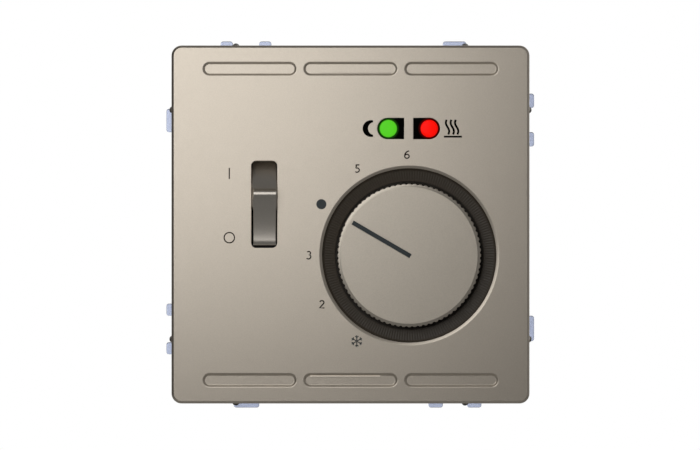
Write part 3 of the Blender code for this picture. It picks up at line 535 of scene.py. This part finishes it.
BOARD = Finish("board_green", (0.02, 0.12, 0.05), 0.35).tint(1500, 0.25).relief(1200, 0.02).made
RELAY_BLUE = moulded("relay_blue", (0.04, 0.13, 0.36), 0.3)
CAPACITOR_YELLOW = moulded("capacitor_yellow", (0.70, 0.44, 0.05), 0.4)
FUSE_GREEN = moulded("fuse_green", (0.12, 0.26, 0.14), 0.4)
GREEN_EPOXY = lens("green_epoxy", (0.10, 0.45, 0.08), 0.2)
RED_EPOXY = lens("red_epoxy", (0.60, 0.02, 0.015), 0.2)

NODE_FINISHES = {
    "zinc_plated_steel": ZINC,
    "nickel_plated_brass": BRASS,
    "enamelled_copper": COPPER,
    "grey_plastic": GREY,
    "black_plastic": BLACK,
    "board_green": BOARD,
    "relay_blue": RELAY_BLUE,
    "capacitor_yellow": CAPACITOR_YELLOW,
    "fuse_green": FUSE_GREEN,
    "green_epoxy": GREEN_EPOXY,
    "red_epoxy": RED_EPOXY,
    "satin_nickel": NICKEL,
    "rocker_lacquer": ROCKER_SHADED_LACQUER,
    "dark_bronze_plastic": PAINTED_SHADE_PLASTIC,
    "slate_print": SLATE,
    "black_gloss": LEFT_GLOSS,
    "green_lens": GREEN_LENS,
    "red_lens": RED_LENS,
    "clear_blue_plastic": CLEAR_BLUE,
}


def dress_nodes():
    """Every CAD node that stays in sight gets its slot's finish and a small edge radius."""
    slots = {row["node"]: row["material_slot"] for row in frame["record"]["subparts"]}
    for name, node in frame["nodes"].items():
        node.data.materials.clear()
        node.data.materials.append(NODE_FINISHES[slots[name]])
        edge = node.modifiers.new("Edge", "BEVEL")
        edge.width = EDGE_WIDTH * MM
        edge.segments = 2
        edge.limit_method = "ANGLE"
        edge.angle_limit = math.radians(EDGE_ANGLE)
        edge.harden_normals = False


# --- Cover --------------------------------------------------------------------------------


def plate_rim():
    """The cover's edge: a flat chamfer with soft corners."""
    rim = PLATE_RIM
    foot = FRONT - PLATE_RIM_DROP
    return [
        (-rim - SUPPORT, FRONT),
        (-rim, FRONT),
        (-rim + 0.03, FRONT - 0.015),
        (-rim + 0.06, FRONT - 0.045),
        (-rim + 0.08, FRONT - 0.07),
        (-0.07, foot + 0.14),
        (-0.05, foot + 0.11),
        (-0.02, foot + 0.05),
        (0.0, foot - 0.05),
        (0.0, foot - 0.10),
        (0.0, SKIRT_BACK + 0.15),
        (-0.15, SKIRT_BACK),
    ]


def pocket_levels():
    """A vent pocket's section: a soft lip, a wall at 42 degrees and a rounded foot."""
    foot = FRONT - POCKET_DEPTH
    return [
        (0.13 + SUPPORT, FRONT),
        (0.13, FRONT),
        (0.03, FRONT - 0.022),
        (0.0, FRONT - 0.04),
        (-0.03, FRONT - 0.067),
        (-0.29, foot + 0.06),
        (-0.32, foot + 0.033),
        (-0.37, foot + 0.008),
        (-0.41, foot),
        (-0.45, foot),
    ]


def window_outline(out):
    """The rocker window at one depth; behind the lip it widens to clear the rocker's swing."""
    swing = (ROCKER_END_RADIUS + 0.33) ** 2 - (out - ROCKER_AXLE) ** 2
    half = max(WINDOW_HEIGHT / 2, math.sqrt(swing))
    return rounded(WINDOW_ACROSS, ROCKER_UP, WINDOW_WIDTH, 2 * half, WINDOW_CORNER)


def make_cover():
    """The cover: face with pockets and openings, skirt and hollow back."""
    shell = Shell()
    outline = rounded(0, 0, PLATE_SIDE, PLATE_SIDE, PLATE_CORNER)
    outer_front, outer_back = shell.run(outline, plate_rim())
    inner = rounded(0, 0, PLATE_SIDE - 2 * PLATE_WALL, PLATE_SIDE - 2 * PLATE_WALL, 1.0)
    inner_back, ceiling = shell.run(inner, [(0, SKIRT_BACK), (0, SKIN_BACK)])
    shell.face(outer_back, inner_back)
    fronts = [outer_front]
    for place in (-1, 0, 1):
        for up in (-POCKET_UP, POCKET_UP):
            pocket = stadium(place * POCKET_PITCH, up, POCKET_LENGTH, POCKET_WIDTH)
            mouth, floor = shell.run(pocket, pocket_levels())
            fronts.append(mouth)
            shell.face(floor)
    backs = [ceiling]
    opening = circle(DIAL_ACROSS, DIAL_UP, OPENING_RADIUS, 192)
    chamfer = OPENING_CHAMFER
    drop = OPENING_CHAMFER_DEPTH
    levels = [
        (chamfer + 0.02 + SUPPORT, FRONT),
        (chamfer + 0.02, FRONT),
        (chamfer - 0.02, FRONT - 0.012),
        (chamfer - 0.05, FRONT - 0.027),
        (0.06, FRONT - drop + 0.02),
        (0.03, FRONT - drop),
        (0.0, FRONT - drop - 0.04),
        (0.0, FRONT - drop - 0.08),
        (0.0, SKIN_BACK),
    ]
    mouth, back = shell.run(opening, levels)
    fronts.append(mouth)
    backs.append(back)
    for side in (-1, 1):
        mouth, back = shell.run(lamp_surround(side), hole_edge(0.05, FRONT, 2) + [(0, SKIN_BACK)])
        fronts.append(mouth)
        backs.append(back)
    mouth, rim = shell.run(window_outline(FRONT), hole_edge(0.12, FRONT))
    fronts.append(mouth)
    for step in range(1, 7):
        out = FRONT - 0.12 + (SKIN_BACK - FRONT + 0.12) * step / 6
        ring = shell.ring(window_outline(out)(0), out)
        shell.wall(rim, ring)
        rim = ring
    backs.append(rim)
    shell.face(*fronts)
    shell.face(*backs)
    shell.piece("cover_shell", NICKEL, "insert", "satin_nickel", ["cover_plate"])


def make_noses():
    """The eight snap noses that stand out of the skirt to hold the surrounding frame. Their dark plastic is
    painted shade, for the shadow they sit in behind the plate's edge.
    """
    for quarter_turn in range(4):
        turn = Matrix.Rotation(-math.pi / 2 * quarter_turn, 2)
        for place in (-NOSE_PLACE, NOSE_PLACE):
            shell = Shell()

            def outline(grow, place=place, turn=turn):
                centre = PLATE_SIDE / 2 + NOSE_REACH - NOSE_RADIUS
                loop = arc(place, centre, NOSE_RADIUS + grow, -25, 205, 22)
                return [tuple(turn @ Vector(point)) for point in loop]

            ramp = [(-0.5, 9.2), (-0.42, 9.1), (-0.04, 7.2), (0, 6.9), (0, 5.7)]
            front, back = shell.run(outline, ramp)
            shell.face(front)
            shell.face(back)
            name = f"snap_nose_{quarter_turn}_{'low' if place < 0 else 'high'}"
            shell.piece(name, PAINTED_SHADE_PLASTIC, "insert", "dark_bronze_plastic")


def make_legs():
    """The four legs that hang from the cover's inside and hook behind the clip frame."""
    hook = [(1.8, 29.4), (1.8, 31.1), (2.1, 31.6), (2.5, 31.7), (2.65, 31.6), (2.7, 31.4), (2.75, 30.6)]
    stem = [(2.9, 30.5), (10.0, 30.5), (10.0, 29.3), (1.9, 29.3)]
    section = [Vector(corner) for corner in hook + stem]
    for up_side, height in ((-1, "bottom"), (1, "top")):
        for across_side, side in ((-1, "left"), (1, "right")):
            leg = Shell(lambda out, up, across, flip=up_side: at(across, flip * up, out))
            middle = LEG_PLACE * across_side
            ends = [(-0.1, middle + LEG_WIDTH / 2), (0, middle + LEG_WIDTH / 2 - 0.1)]
            ends += [(0, middle - LEG_WIDTH / 2 + 0.1), (-0.1, middle - LEG_WIDTH / 2)]
            first, last = leg.run(lambda grow: inset(section, grow), ends)
            leg.face(first)
            leg.face(last)
            leg.piece(f"cover_leg_{height}_{side}", NICKEL, "insert", "satin_nickel")


def make_beads():
    """The sloping bead just inside each middle pocket, on the side of the plate's centre."""
    foot = FRONT - POCKET_DEPTH
    section = [(foot + 0.21, 0.0), (foot + 0.09, 0.28), (foot - 0.04, 0.30), (foot - 0.04, 0.0)]
    beads = (("top", 29.63, -5.9, 8.0), ("bottom", -30.03, -8.0, 5.9))
    for name, low, start, end in beads:
        bead = Shell(lambda out, up, across, low=low: at(across, low + up, out))
        first, last = bead.run(lambda grow: section, [(0, end), (0, start)])
        bead.face(first)
        bead.face(last)
        bead.piece(f"pocket_bead_{name}", NICKEL, "insert", "satin_nickel")


# --- Dial ---------------------------------------------------------------------------------


def flute_cut(turn):
    """How deep the knob's side is cut at this angle, from 0 on a land to 1 in a flute."""
    from_pointer = math.degrees(turn) - 90 - POINTER_ANGLE
    from_pointer = (from_pointer + 180) % 360 - 180
    if abs(from_pointer) < PLAIN_HALF_ANGLE:
        return 0.0
    phase = (turn * FLUTES / (2 * math.pi)) % 1.0
    return max(0.0, 1 - (2 * phase - 1) ** 2 / FLUTE_SHARE**2) ** 0.5


def make_knob():
    """The knob: flat face with the pointer's groove, a bright chamfer and a fluted side."""
    shell = Shell()
    sides = FLUTES * 10
    turns = [2 * math.pi * i / sides for i in range(sides)]
    cuts = [KNOB_RADIUS - FLUTE_DEPTH * flute_cut(turn) for turn in turns]
    face = KNOB_FRONT

    def ring(radius, out, fluted=True):
        radii = [min(radius, cut) if fluted else radius for cut in cuts]
        loop = [
            (DIAL_ACROSS + r * math.cos(turn), DIAL_UP + r * math.sin(turn))
            for r, turn in zip(radii, turns)
        ]
        return shell.ring(loop, out)

    profile = [
        (KNOB_FACE_RADIUS - SUPPORT, face),
        (KNOB_FACE_RADIUS, face),
        (KNOB_FACE_RADIUS + 0.03, face - 0.008),
        (KNOB_FACE_RADIUS + 0.06, face - 0.022),
        (KNOB_FACE_RADIUS + 0.23, face - 0.107),
        (KNOB_FACE_RADIUS + 0.27, face - 0.123),
        (KNOB_FACE_RADIUS + 0.31, face - 0.132),
        (KNOB_RADIUS - 0.14, face - 0.21),
        (KNOB_RADIUS - 0.09, face - 0.24),
        (KNOB_RADIUS - 0.05, face - 0.30),
        (KNOB_RADIUS - 0.01, face - 0.45),
        (KNOB_RADIUS, face - 0.8),
        (KNOB_RADIUS, KNOB_BACK + 0.15),
        (KNOB_RADIUS - 0.1, KNOB_BACK),
    ]
    inside = [
        (KNOB_INSIDE_RADIUS, KNOB_BACK),
        (KNOB_INSIDE_RADIUS, face - 1.6),
        (KNOB_HUB_RADIUS, face - 1.6),
        (KNOB_HUB_RADIUS, KNOB_FOOT),
        (KNOB_BORE_RADIUS, KNOB_FOOT),
        (KNOB_BORE_RADIUS, face - 2.0),
    ]
    rings = [ring(*level) for level in profile] + [ring(*level, False) for level in inside]
    for first, second in zip(rings, rings[1:]):
        shell.wall(first, second)
    shell.face(rings[-1])
    groove = bar_along(POINTER_TAIL, POINTER_TIP, POINTER_WIDTH, POINTER_ANGLE)
    mouth, floor = shell.run(groove, [(0.03, face), (0.0, face - 0.03), (0.0, face - 0.45)])
    shell.face(floor)
    shell.face(rings[0], mouth)
    shell.piece("knob_shell", KNOB_NICKEL, "dial", "satin_nickel", ["dial_knob"])


def make_pointer():
    """The pointer inlay, level with the knob's face."""
    shell = Shell()
    bar = bar_along(POINTER_TAIL, POINTER_TIP, POINTER_WIDTH, POINTER_ANGLE)
    levels = [(-0.05, KNOB_FRONT - 0.005), (-0.015, KNOB_FRONT - 0.03), (-0.015, KNOB_FRONT - 0.42)]
    first, last = shell.run(bar, levels)
    shell.face(first)
    shell.face(last)
    shell.piece("pointer_inlay", SLATE, "dial", "slate_print", ["pointer"])


def make_well():
    """The dark dish round the knob, with fine radial ribs on its sloping wall. Its dark colour is partly the
    dish's own plastic and partly painted shade of the deep recess.
    """
    shell = Shell()
    sides = WELL_RIBS * 6
    turns = [2 * math.pi * i / sides for i in range(sides)]

    def ring(radius, out, rib=0.0):
        loop = [(DIAL_ACROSS + radius * math.cos(t), DIAL_UP + radius * math.sin(t)) for t in turns]
        heights = [out + rib * math.cos(t * WELL_RIBS) for t in turns]
        return [shell.shape.verts.new(at(*point, height)) for point, height in zip(loop, heights)]

    rim = OPENING_RADIUS - 0.04
    lip = FRONT - OPENING_CHAMFER
    back = depths("dial_well")[0]
    flange = right_end("dial_well") - DIAL_ACROSS
    levels = [
        (rim, SKIN_BACK - 0.1),
        (rim, lip - 0.12),
        (rim - 0.12, lip - 0.06),
        (rim - 0.3, lip - 0.16),
        (rim - 0.4, lip - 0.25, WELL_RIB_HEIGHT),
        (WELL_STEP_RADIUS + 0.12, WELL_FLOOR + 1.7, WELL_RIB_HEIGHT),
        (WELL_STEP_RADIUS + 0.04, WELL_FLOOR + 1.66),
        (WELL_STEP_RADIUS, WELL_FLOOR + 1.5),
        (WELL_STEP_RADIUS, WELL_FLOOR),
        (WELL_HOLE_RADIUS + 0.1, WELL_FLOOR),
        (WELL_HOLE_RADIUS, WELL_FLOOR - 0.1),
        (WELL_HOLE_RADIUS, back),
        (flange, back),
        (flange, SKIN_BACK - 0.3),
        (rim, SKIN_BACK - 0.3),
    ]
    rings = [ring(*level) for level in levels]
    for first, second in zip(rings, rings[1:] + rings[:1]):
        shell.wall(first, second)
    shell.piece("well_dish", PAINTED_SHADE_PLASTIC, "insert", "dark_bronze_plastic", ["dial_well"])


# --- Rocker -------------------------------------------------------------------------------


def rocker_place(out, up, aside):
    """A point in metres from a place measured from the middle of the rocker's axle."""
    return at(ROCKER_ACROSS + aside, ROCKER_UP + up, ROCKER_AXLE + out)


def rocker_side(side):
    """The front of one half of the rocker, from the crest over the dish and round the end."""
    crest = Vector((ROCKER_CREST, ROCKER_CREST_SHIFT * side))
    tip_turn = math.radians(ROCKER_TIP_ANGLE)
    tip = Vector((math.cos(tip_turn), math.sin(tip_turn))) * ROCKER_END_RADIUS
    chord = tip - crest
    inward = Vector((-chord.y, chord.x)).normalized()
    turns = [math.radians(9 * i) for i in range(1, 4)]
    ridge = crest - Vector((ROCKER_RIDGE_RADIUS + 0.02, 0))
    points = [ridge + Vector((math.cos(turn), math.sin(turn))) * ROCKER_RIDGE_RADIUS for turn in turns]
    steps = 30
    for i in range(3, steps):
        share = i / steps
        if side > 0:
            left = 1 - share
            dip = ROCKER_UPPER_DISH * (left - left**ROCKER_UPPER_CURL)
        else:
            dip = ROCKER_LOWER_DISH * (share - share**3)
        points.append(crest + chord * share + inward * dip)
    rounded_end = [(0.35, ROCKER_END_RADIUS - 0.03), (1.0, ROCKER_END_RADIUS), (1.7, ROCKER_END_RADIUS)]
    underside = [(2.5, ROCKER_END_RADIUS), (3.1, 10.2), (-12.9, 3.54)]
    for beyond, radius in rounded_end + underside:
        turn = math.radians(ROCKER_TIP_ANGLE + beyond)
        points.append(Vector((math.cos(turn), math.sin(turn))) * radius)
    return [Vector((p.x, p.y * side)) for p in points]


def rocker_outline():
    """The rocker's section as (out, up) from its axle at rest, with a rounded crest."""
    upper = rocker_side(1)
    lower = rocker_side(-1)
    hub = [Vector(corner) for corner in arc(0, 0, ROCKER_HUB_RADIUS, 90, 270, 12)]
    crest = [Vector((ROCKER_CREST - 0.02, ROCKER_CREST_SHIFT))]
    loop = crest + upper + hub + lower[::-1]
    turn = Matrix.Rotation(math.radians(ROCKER_TILT), 2)
    return [turn @ point for point in loop]


def inset(loop, distance):
    """A closed outline moved inwards along its normals."""
    moved = []
    for i, point in enumerate(loop):
        along = (loop[(i + 1) % len(loop)] - loop[i - 1]).normalized()
        moved.append(point + Vector((-along.y, along.x)) * distance)
    return moved


def rocker_shoulder(side, up):
    """How much the rocker's side stands out where it fills the gap to the window."""
    if side > 0:
        return 0.15 if -0.65 < up < 8.2 else 0.0
    if 3.35 < up < 8.2:
        return 0.28
    return 0.2 if -0.5 < up < 1.3 else 0.0


def make_rocker():
    """The rocker: two finger dishes that meet at a crest, with eased side edges."""
    loop = rocker_outline()
    shell = Shell(rocker_place)
    half = ROCKER_WIDTH / 2
    edge = ROCKER_EDGE
    levels = [(edge, 0.0), (edge * 0.3, edge * 0.3), (0.0, edge), (0.0, edge + SUPPORT)]
    sides = [(1, *level) for level in levels] + [(-1, *level) for level in reversed(levels)]
    rings = []
    for side, depth, inside in sides:
        ring = []
        for out, up in inset(loop, depth):
            aside = side * (half - inside + rocker_shoulder(side, up))
            ring.append(shell.shape.verts.new(shell.place(out, up, aside)))
        rings.append(ring)
    for first, second in zip(rings, rings[1:]):
        shell.wall(first, second)
    shell.face(rings[0])
    shell.face(rings[-1])
    shell.piece("rocker_cap", ROCKER_SHADED_LACQUER, "rocker", "rocker_lacquer", ["rocker"])


def make_rocker_axle():
    """The rocker's axle and the leg behind it."""
    reach = ROCKER_AXLE_REACH
    ends = [(-0.2, reach), (0, reach - 0.2), (0, 0.2 - reach), (-0.2, -reach)]
    axle = Shell(rocker_place)
    first, last = axle.run(circle(0, 0, ROCKER_AXLE_RADIUS, 32), ends)
    axle.face(first)
    axle.face(last)
    axle.piece("rocker_axle", ROCKER_SHADED_LACQUER, "rocker", "rocker_lacquer")
    leg = Shell(rocker_place)
    behind = math.radians(180 + ROCKER_TILT)
    along = Vector((math.cos(behind), math.sin(behind)))
    aside = Vector((along.y, -along.x)) * 1.5
    corners = [along * 1.8 - aside, along * 5.2 - aside, along * 5.2 + aside, along * 1.8 + aside]
    loop = [tuple(corner) for corner in corners]
    first, last = leg.run(lambda grow: loop, [(0, ROCKER_LEG_HALF), (0, -ROCKER_LEG_HALF)])
    leg.face(first)
    leg.face(last)
    leg.piece("rocker_leg", ROCKER_SHADED_LACQUER, "rocker", "rocker_lacquer")


# --- Lamps --------------------------------------------------------------------------------


def make_lamps():
    """Glossy black surrounds and the domed light guides in them."""
    lamps = (
        (-1, "left", "green", GREEN_LENS, LEFT_GLOSS),
        (1, "right", "red", RED_LENS, RIGHT_GLOSS),
    )
    for side, place, colour, finish, gloss in lamps:
        centre = (LAMP_ACROSS + side * LAMP_PLACE, LAMP_UP)
        shell = Shell()
        outline = lamp_surround(side)
        front, back = shell.run(outline, [(-0.07, FRONT - 0.03), (-0.03, FRONT - 0.06), (-0.03, LAMP_BACK)])
        hole = circle(*centre, LIGHT_RADIUS, 64)
        mouth, end = shell.run(hole, [(0.10, FRONT - 0.03), (0.04, FRONT - 0.08), (0.02, LAMP_BACK)])
        shell.face(front, mouth)
        shell.face(back, end)
        shell.piece(f"{place}_surround", gloss, "insert", "black_gloss", [f"{place}_lamp_window"])
        slopes = [math.radians(angle) for angle in range(4, 89, 6)]
        dome = [
            (LIGHT_RADIUS * math.sin(slope), FRONT - 0.30 + LENS_DOME * math.cos(slope))
            for slope in slopes
        ]
        profile = dome + [(LIGHT_RADIUS, FRONT - 0.45), (LIGHT_RADIUS, LENS_BACK)]
        lens_shell = Shell()
        tip, foot = lens_shell.run(circle(*centre, 0.0, 64), profile)
        lens_shell.face(tip)
        lens_shell.face(foot)
        name = f"{colour}_lens"
        lens_shell.piece(name, finish, "insert", name, [f"{colour}_light_guide"])


# --- Printed marks ------------------------------------------------------------------------


def offset_line(points, width, closed=False):
    """The two sides of a stroke along a line of points."""
    lefts, rights = [], []
    count = len(points)
    for i, point in enumerate(points):
        before = points[i - 1] if closed or i > 0 else point
        after = points[(i + 1) % count] if closed or i < count - 1 else point
        along = (Vector(after) - Vector(before)).normalized()
        if i > 0 or closed:
            first = (Vector(point) - Vector(before)).normalized()
            half = width / 2 / max(0.5, abs(along.dot(first)))
        else:
            half = width / 2
        aside = Vector((-along.y, along.x)) * half
        lefts.append(tuple(Vector(point) + aside))
        rights.append(tuple(Vector(point) - aside))
    return lefts, rights


def print_shape(name, loops, finish=INK):
    """A thin printed mark on the cover: an outer loop and any holes."""
    shell = Shell()
    fronts, backs = [], []
    for loop in loops:
        front, back = shell.run(lambda grow: loop, [(0, FRONT + PRINT_HALF), (0, FRONT - PRINT_HALF)])
        fronts.append(front)
        backs.append(back)
    shell.face(*fronts)
    shell.face(*backs)
    shell.piece(name, finish, "insert", "slate_print")


def print_stroke(name, points, width, finish=INK, closed=False):
    """A printed line with square ends, or a closed one."""
    lefts, rights = offset_line(points, width, closed)
    loops = [lefts, rights] if closed else [lefts + rights[::-1]]
    print_shape(name, loops, finish)


def digit_strokes(digit):
    """A plain numeral as (points, closed) strokes, 1 high and about 0.6 wide, from its lower left."""
    if digit == 2:
        hook = arc(0.30, 0.72, 0.215, 165, -28, 12)
        return [(hook + [(0.07, 0.07), (0.56, 0.07)], False)]
    if digit == 3:
        top = arc(0.31, 0.735, 0.20, 140, -78, 10)
        return [(top + arc(0.29, 0.295, 0.25, 72, -140, 12), False)]
    if digit == 5:
        bowl = arc(0.24, 0.31, 0.25, 108, -132, 12)
        return [([(0.50, 0.93), (0.165, 0.93), (0.15, 0.545)] + bowl, False)]
    bowl = arc(0.30, 0.30, 0.235, 180, -180, 24)[:-1]
    stem = arc(0.66, 0.36, 0.595, 184, 103, 10)
    return [(bowl, True), (stem, False)]


def make_scale():
    """Numerals, the dot and the frost mark round the dial."""
    for digit, angle in DIGIT_ANGLES.items():
        across, up = polar(angle, SCALE_RADIUS - 0.12)
        for number, (points, closed) in enumerate(digit_strokes(digit)):
            placed = [
                (across + (x - 0.30) * DIGIT_HEIGHT * DIGIT_WIDENING, up + (y - 0.5) * DIGIT_HEIGHT)
                for x, y in points
            ]
            print_stroke(f"mark_{digit}_{number}", placed, DIGIT_STROKE, closed=closed)
    print_shape("mark_dot", [circle(*polar(DOT_ANGLE, SCALE_RADIUS), DOT_RADIUS, 48)(0)], SLATE)
    centre = Vector(polar(FROST_ANGLE, SCALE_RADIUS + 0.1))
    for arm in range(6):
        turn = math.radians(30 + 60 * arm)
        along = Vector((math.cos(turn), math.sin(turn)))
        ends = [tuple(centre + along * 0.06), tuple(centre + along * FROST_ARM)]
        print_stroke(f"frost_arm_{arm}", ends, 0.2, SLATE)
        for side in (-1, 1):
            barb = Vector((math.cos(turn + side * 0.9), math.sin(turn + side * 0.9)))
            root = centre + along * 0.72
            ends = [tuple(root), tuple(root + barb * FROST_BARB)]
            print_stroke(f"frost_barb_{arm}_{'a' if side < 0 else 'b'}", ends, 0.17, SLATE)


def make_symbols():
    """I and O beside the rocker, the moon and the floor-heating sign beside the lamps."""
    across = SWITCH_MARKS_ACROSS
    print_stroke("mark_on", [(across, up) for up in ON_MARK], SWITCH_STROKE)
    ring = circle(across, OFF_MARK_UP, OFF_MARK_RADIUS, 48)(0)
    print_stroke("mark_off", ring, SWITCH_STROKE, closed=True)
    outer = arc(4.05, LAMP_UP, 1.66, 76, 284, 32)
    inner = arc(4.73, LAMP_UP, 1.27, 257, 103, 24)
    print_shape("mark_moon", [outer + inner], BLACK_INK)
    for number, start in enumerate(WAVE_STARTS):
        wave = []
        for i in range(25):
            share = i / 24
            sway = WAVE_SWAY * math.sin(2 * math.pi * (share * 0.98 + 0.02))
            wave.append((start + WAVE_LEAN * share - sway, LAMP_UP + WAVE_TOP - WAVE_HEIGHT * share))
        print_stroke(f"heat_wave_{number}", wave, WAVE_STROKE, BLACK_INK)
    floor = [(across, LAMP_UP - FLOOR_LINE_DROP) for across in FLOOR_LINE]
    print_stroke("heat_floor", floor, FLOOR_LINE_STROKE, BLACK_INK)


# --- Pieces behind the cover ---------------------------------------------------------------


def make_clip_frame():
    """The translucent clip frame with its three tabs on each side."""
    ring = rounded(0, 0, CLIP_SIDE, CLIP_SIDE, 2.5)
    opening = rounded(0, 0, CLIP_OPENING, CLIP_OPENING, 2.0)
    slot = "clear_blue_plastic"
    back, front = depths("clip_frame")
    slab("clip_ring", CLEAR_BLUE, slot, ring, [opening], back, front, 0.2, ["clip_frame"])
    for quarter_turn in range(4):
        reach = right_end("clip_frame") - (0.2, 0.1, 0.2, 0.0)[quarter_turn]
        wider = (0.0, 0.44, 0.44, 0.0)[quarter_turn]
        turn = Matrix.Rotation(-math.pi / 2 * quarter_turn, 2)
        for number, (left, right) in enumerate(((-25.6, -23.2), (-18.0, -15.6), (18.2, 22.8))):
            low = CLIP_SIDE / 2 - 0.3
            width = right - left + wider
            plain = rounded((left + right) / 2, (reach + low) / 2, width, reach - low, 0.5, 5)

            def tab(grow, plain=plain, turn=turn):
                return [tuple(turn @ Vector(point)) for point in plain(grow)]

            name = f"clip_tab_{quarter_turn}_{number}"
            slab(name, CLEAR_BLUE, slot, tab, [], back + 0.4, front - 0.6, 0.18)


def make_steel_plate():
    """The steel support plate with its box-screw slots and rounded sheet edges."""
    half = right_end("support_plate")
    short = half - STEEL_CORNER_CUT

    def outline(grow):
        reach = half + grow
        cut = short + grow * math.tan(math.radians(22.5))
        loop = [(reach, -cut), (reach, cut), (cut, reach), (-cut, reach)]
        return loop + [(-across, -up) for across, up in loop]

    holes = [circle(0, 0, STEEL_HOLE_RADIUS, 128)]
    for place in (-STEEL_SLOT_PLACE, STEEL_SLOT_PLACE):
        holes.append(stadium(0, place, STEEL_SLOT_LENGTH, STEEL_SLOT_WIDTH))
    for place in (-STEEL_SLOT_PLACE, STEEL_SLOT_PLACE):
        holes.append(stadium(place, 0, STEEL_SLOT_LENGTH, STEEL_SLOT_WIDTH, upright=True))
    back, front = depths("support_plate")
    slab("steel_plate", ZINC, "zinc_plated_steel", outline, holes, back, front, 0.12, ["support_plate"])


# --- Stage --------------------------------------------------------------------------------


def make_key_light():
    """A softbox in front, up and to the left, that the camera doesn't see."""
    light = bpy.data.lights.new("key", "AREA")
    light.shape = "SQUARE"
    light.size = KEY_SIDE * MM
    light.energy = KEY_POWER
    holder = bpy.data.objects.new("key", light)
    bpy.context.scene.collection.objects.link(holder)
    holder.location = at(*KEY_PLACE)
    holder.rotation_euler = (math.pi / 2, 0, 0)
    holder.visible_camera = False


def make_world():
    """White to the camera; elsewhere dim in front, white behind, and darker to the left."""
    world = bpy.data.worlds.new("studio")
    bpy.context.scene.world = world
    world.use_nodes = True
    nodes, links = world.node_tree.nodes, world.node_tree.links
    background = nodes["Background"]
    coordinates = nodes.new("ShaderNodeTexCoord")
    split = nodes.new("ShaderNodeSeparateXYZ")
    links.new(coordinates.outputs["Generated"], split.inputs["Vector"])
    ramp = nodes.new("ShaderNodeValToRGB")
    depth = nodes.new("ShaderNodeMapRange")
    depth.inputs["From Min"].default_value = -1.0
    links.new(split.outputs["Y"], depth.inputs["Value"])
    links.new(depth.outputs["Result"], ramp.inputs["Fac"])
    bands = ramp.color_ramp.elements
    for element, (place, grey) in zip(bands, STUDIO_BANDS[:2]):
        element.position = place
        element.color = (grey, grey, grey, 1)
    for place, grey in STUDIO_BANDS[2:]:
        bands.new(place).color = (grey, grey, grey, 1)
    aside = nodes.new("ShaderNodeMapRange")
    aside.inputs["From Min"].default_value = -1.0
    aside.inputs["To Min"].default_value = STUDIO_LEFT
    aside.inputs["To Max"].default_value = STUDIO_RIGHT
    links.new(split.outputs["X"], aside.inputs["Value"])
    scaled = nodes.new("ShaderNodeVectorMath")
    scaled.operation = "SCALE"
    links.new(ramp.outputs["Color"], scaled.inputs["Vector"])
    links.new(aside.outputs["Result"], scaled.inputs["Scale"])
    path = nodes.new("ShaderNodeLightPath")
    mix = nodes.new("ShaderNodeMix")
    mix.data_type = "RGBA"
    mix.inputs["B"].default_value = (1, 1, 1, 1)
    links.new(path.outputs["Is Camera Ray"], mix.inputs["Factor"])
    links.new(scaled.outputs["Vector"], mix.inputs["A"])
    links.new(mix.outputs["Result"], background.inputs["Color"])


def make_floor():
    """A plain pale floor below the part."""
    mesh = bpy.data.meshes.new("floor")
    shape = bmesh.new()
    bmesh.ops.create_grid(shape, x_segments=1, y_segments=1, size=FLOOR_HALF)
    shape.to_mesh(mesh)
    shape.free()
    floor = bpy.data.objects.new("floor", mesh)
    bpy.context.scene.collection.objects.link(floor)
    floor.location = (0, 0, FLOOR_HEIGHT)
    mesh.materials.append(Finish("floor_paint", (0.80, 0.80, 0.79), 0.6).tint(6, 0.01).made)


def make_camera():
    """A camera straight in front, with no perspective."""
    camera = bpy.data.cameras.new("camera")
    camera.type = "ORTHO"
    camera.ortho_scale = VIEW_WIDTH * MM
    camera.clip_start = 0.01
    camera.clip_end = 10
    holder = bpy.data.objects.new("camera", camera)
    bpy.context.scene.collection.objects.link(holder)
    holder.location = at(*VIEW_CENTRE, 600)
    holder.rotation_euler = (math.pi / 2, 0, 0)
    bpy.context.scene.camera = holder


dress_nodes()
make_cover()
make_noses()
make_legs()
make_beads()
make_knob()
make_pointer()
make_well()
make_rocker()
make_rocker_axle()
make_lamps()
make_scale()
make_symbols()
make_clip_frame()
make_steel_plate()
make_world()
make_floor()
make_camera()
make_key_light()

bpy.context.scene.view_settings.view_transform = "Standard"
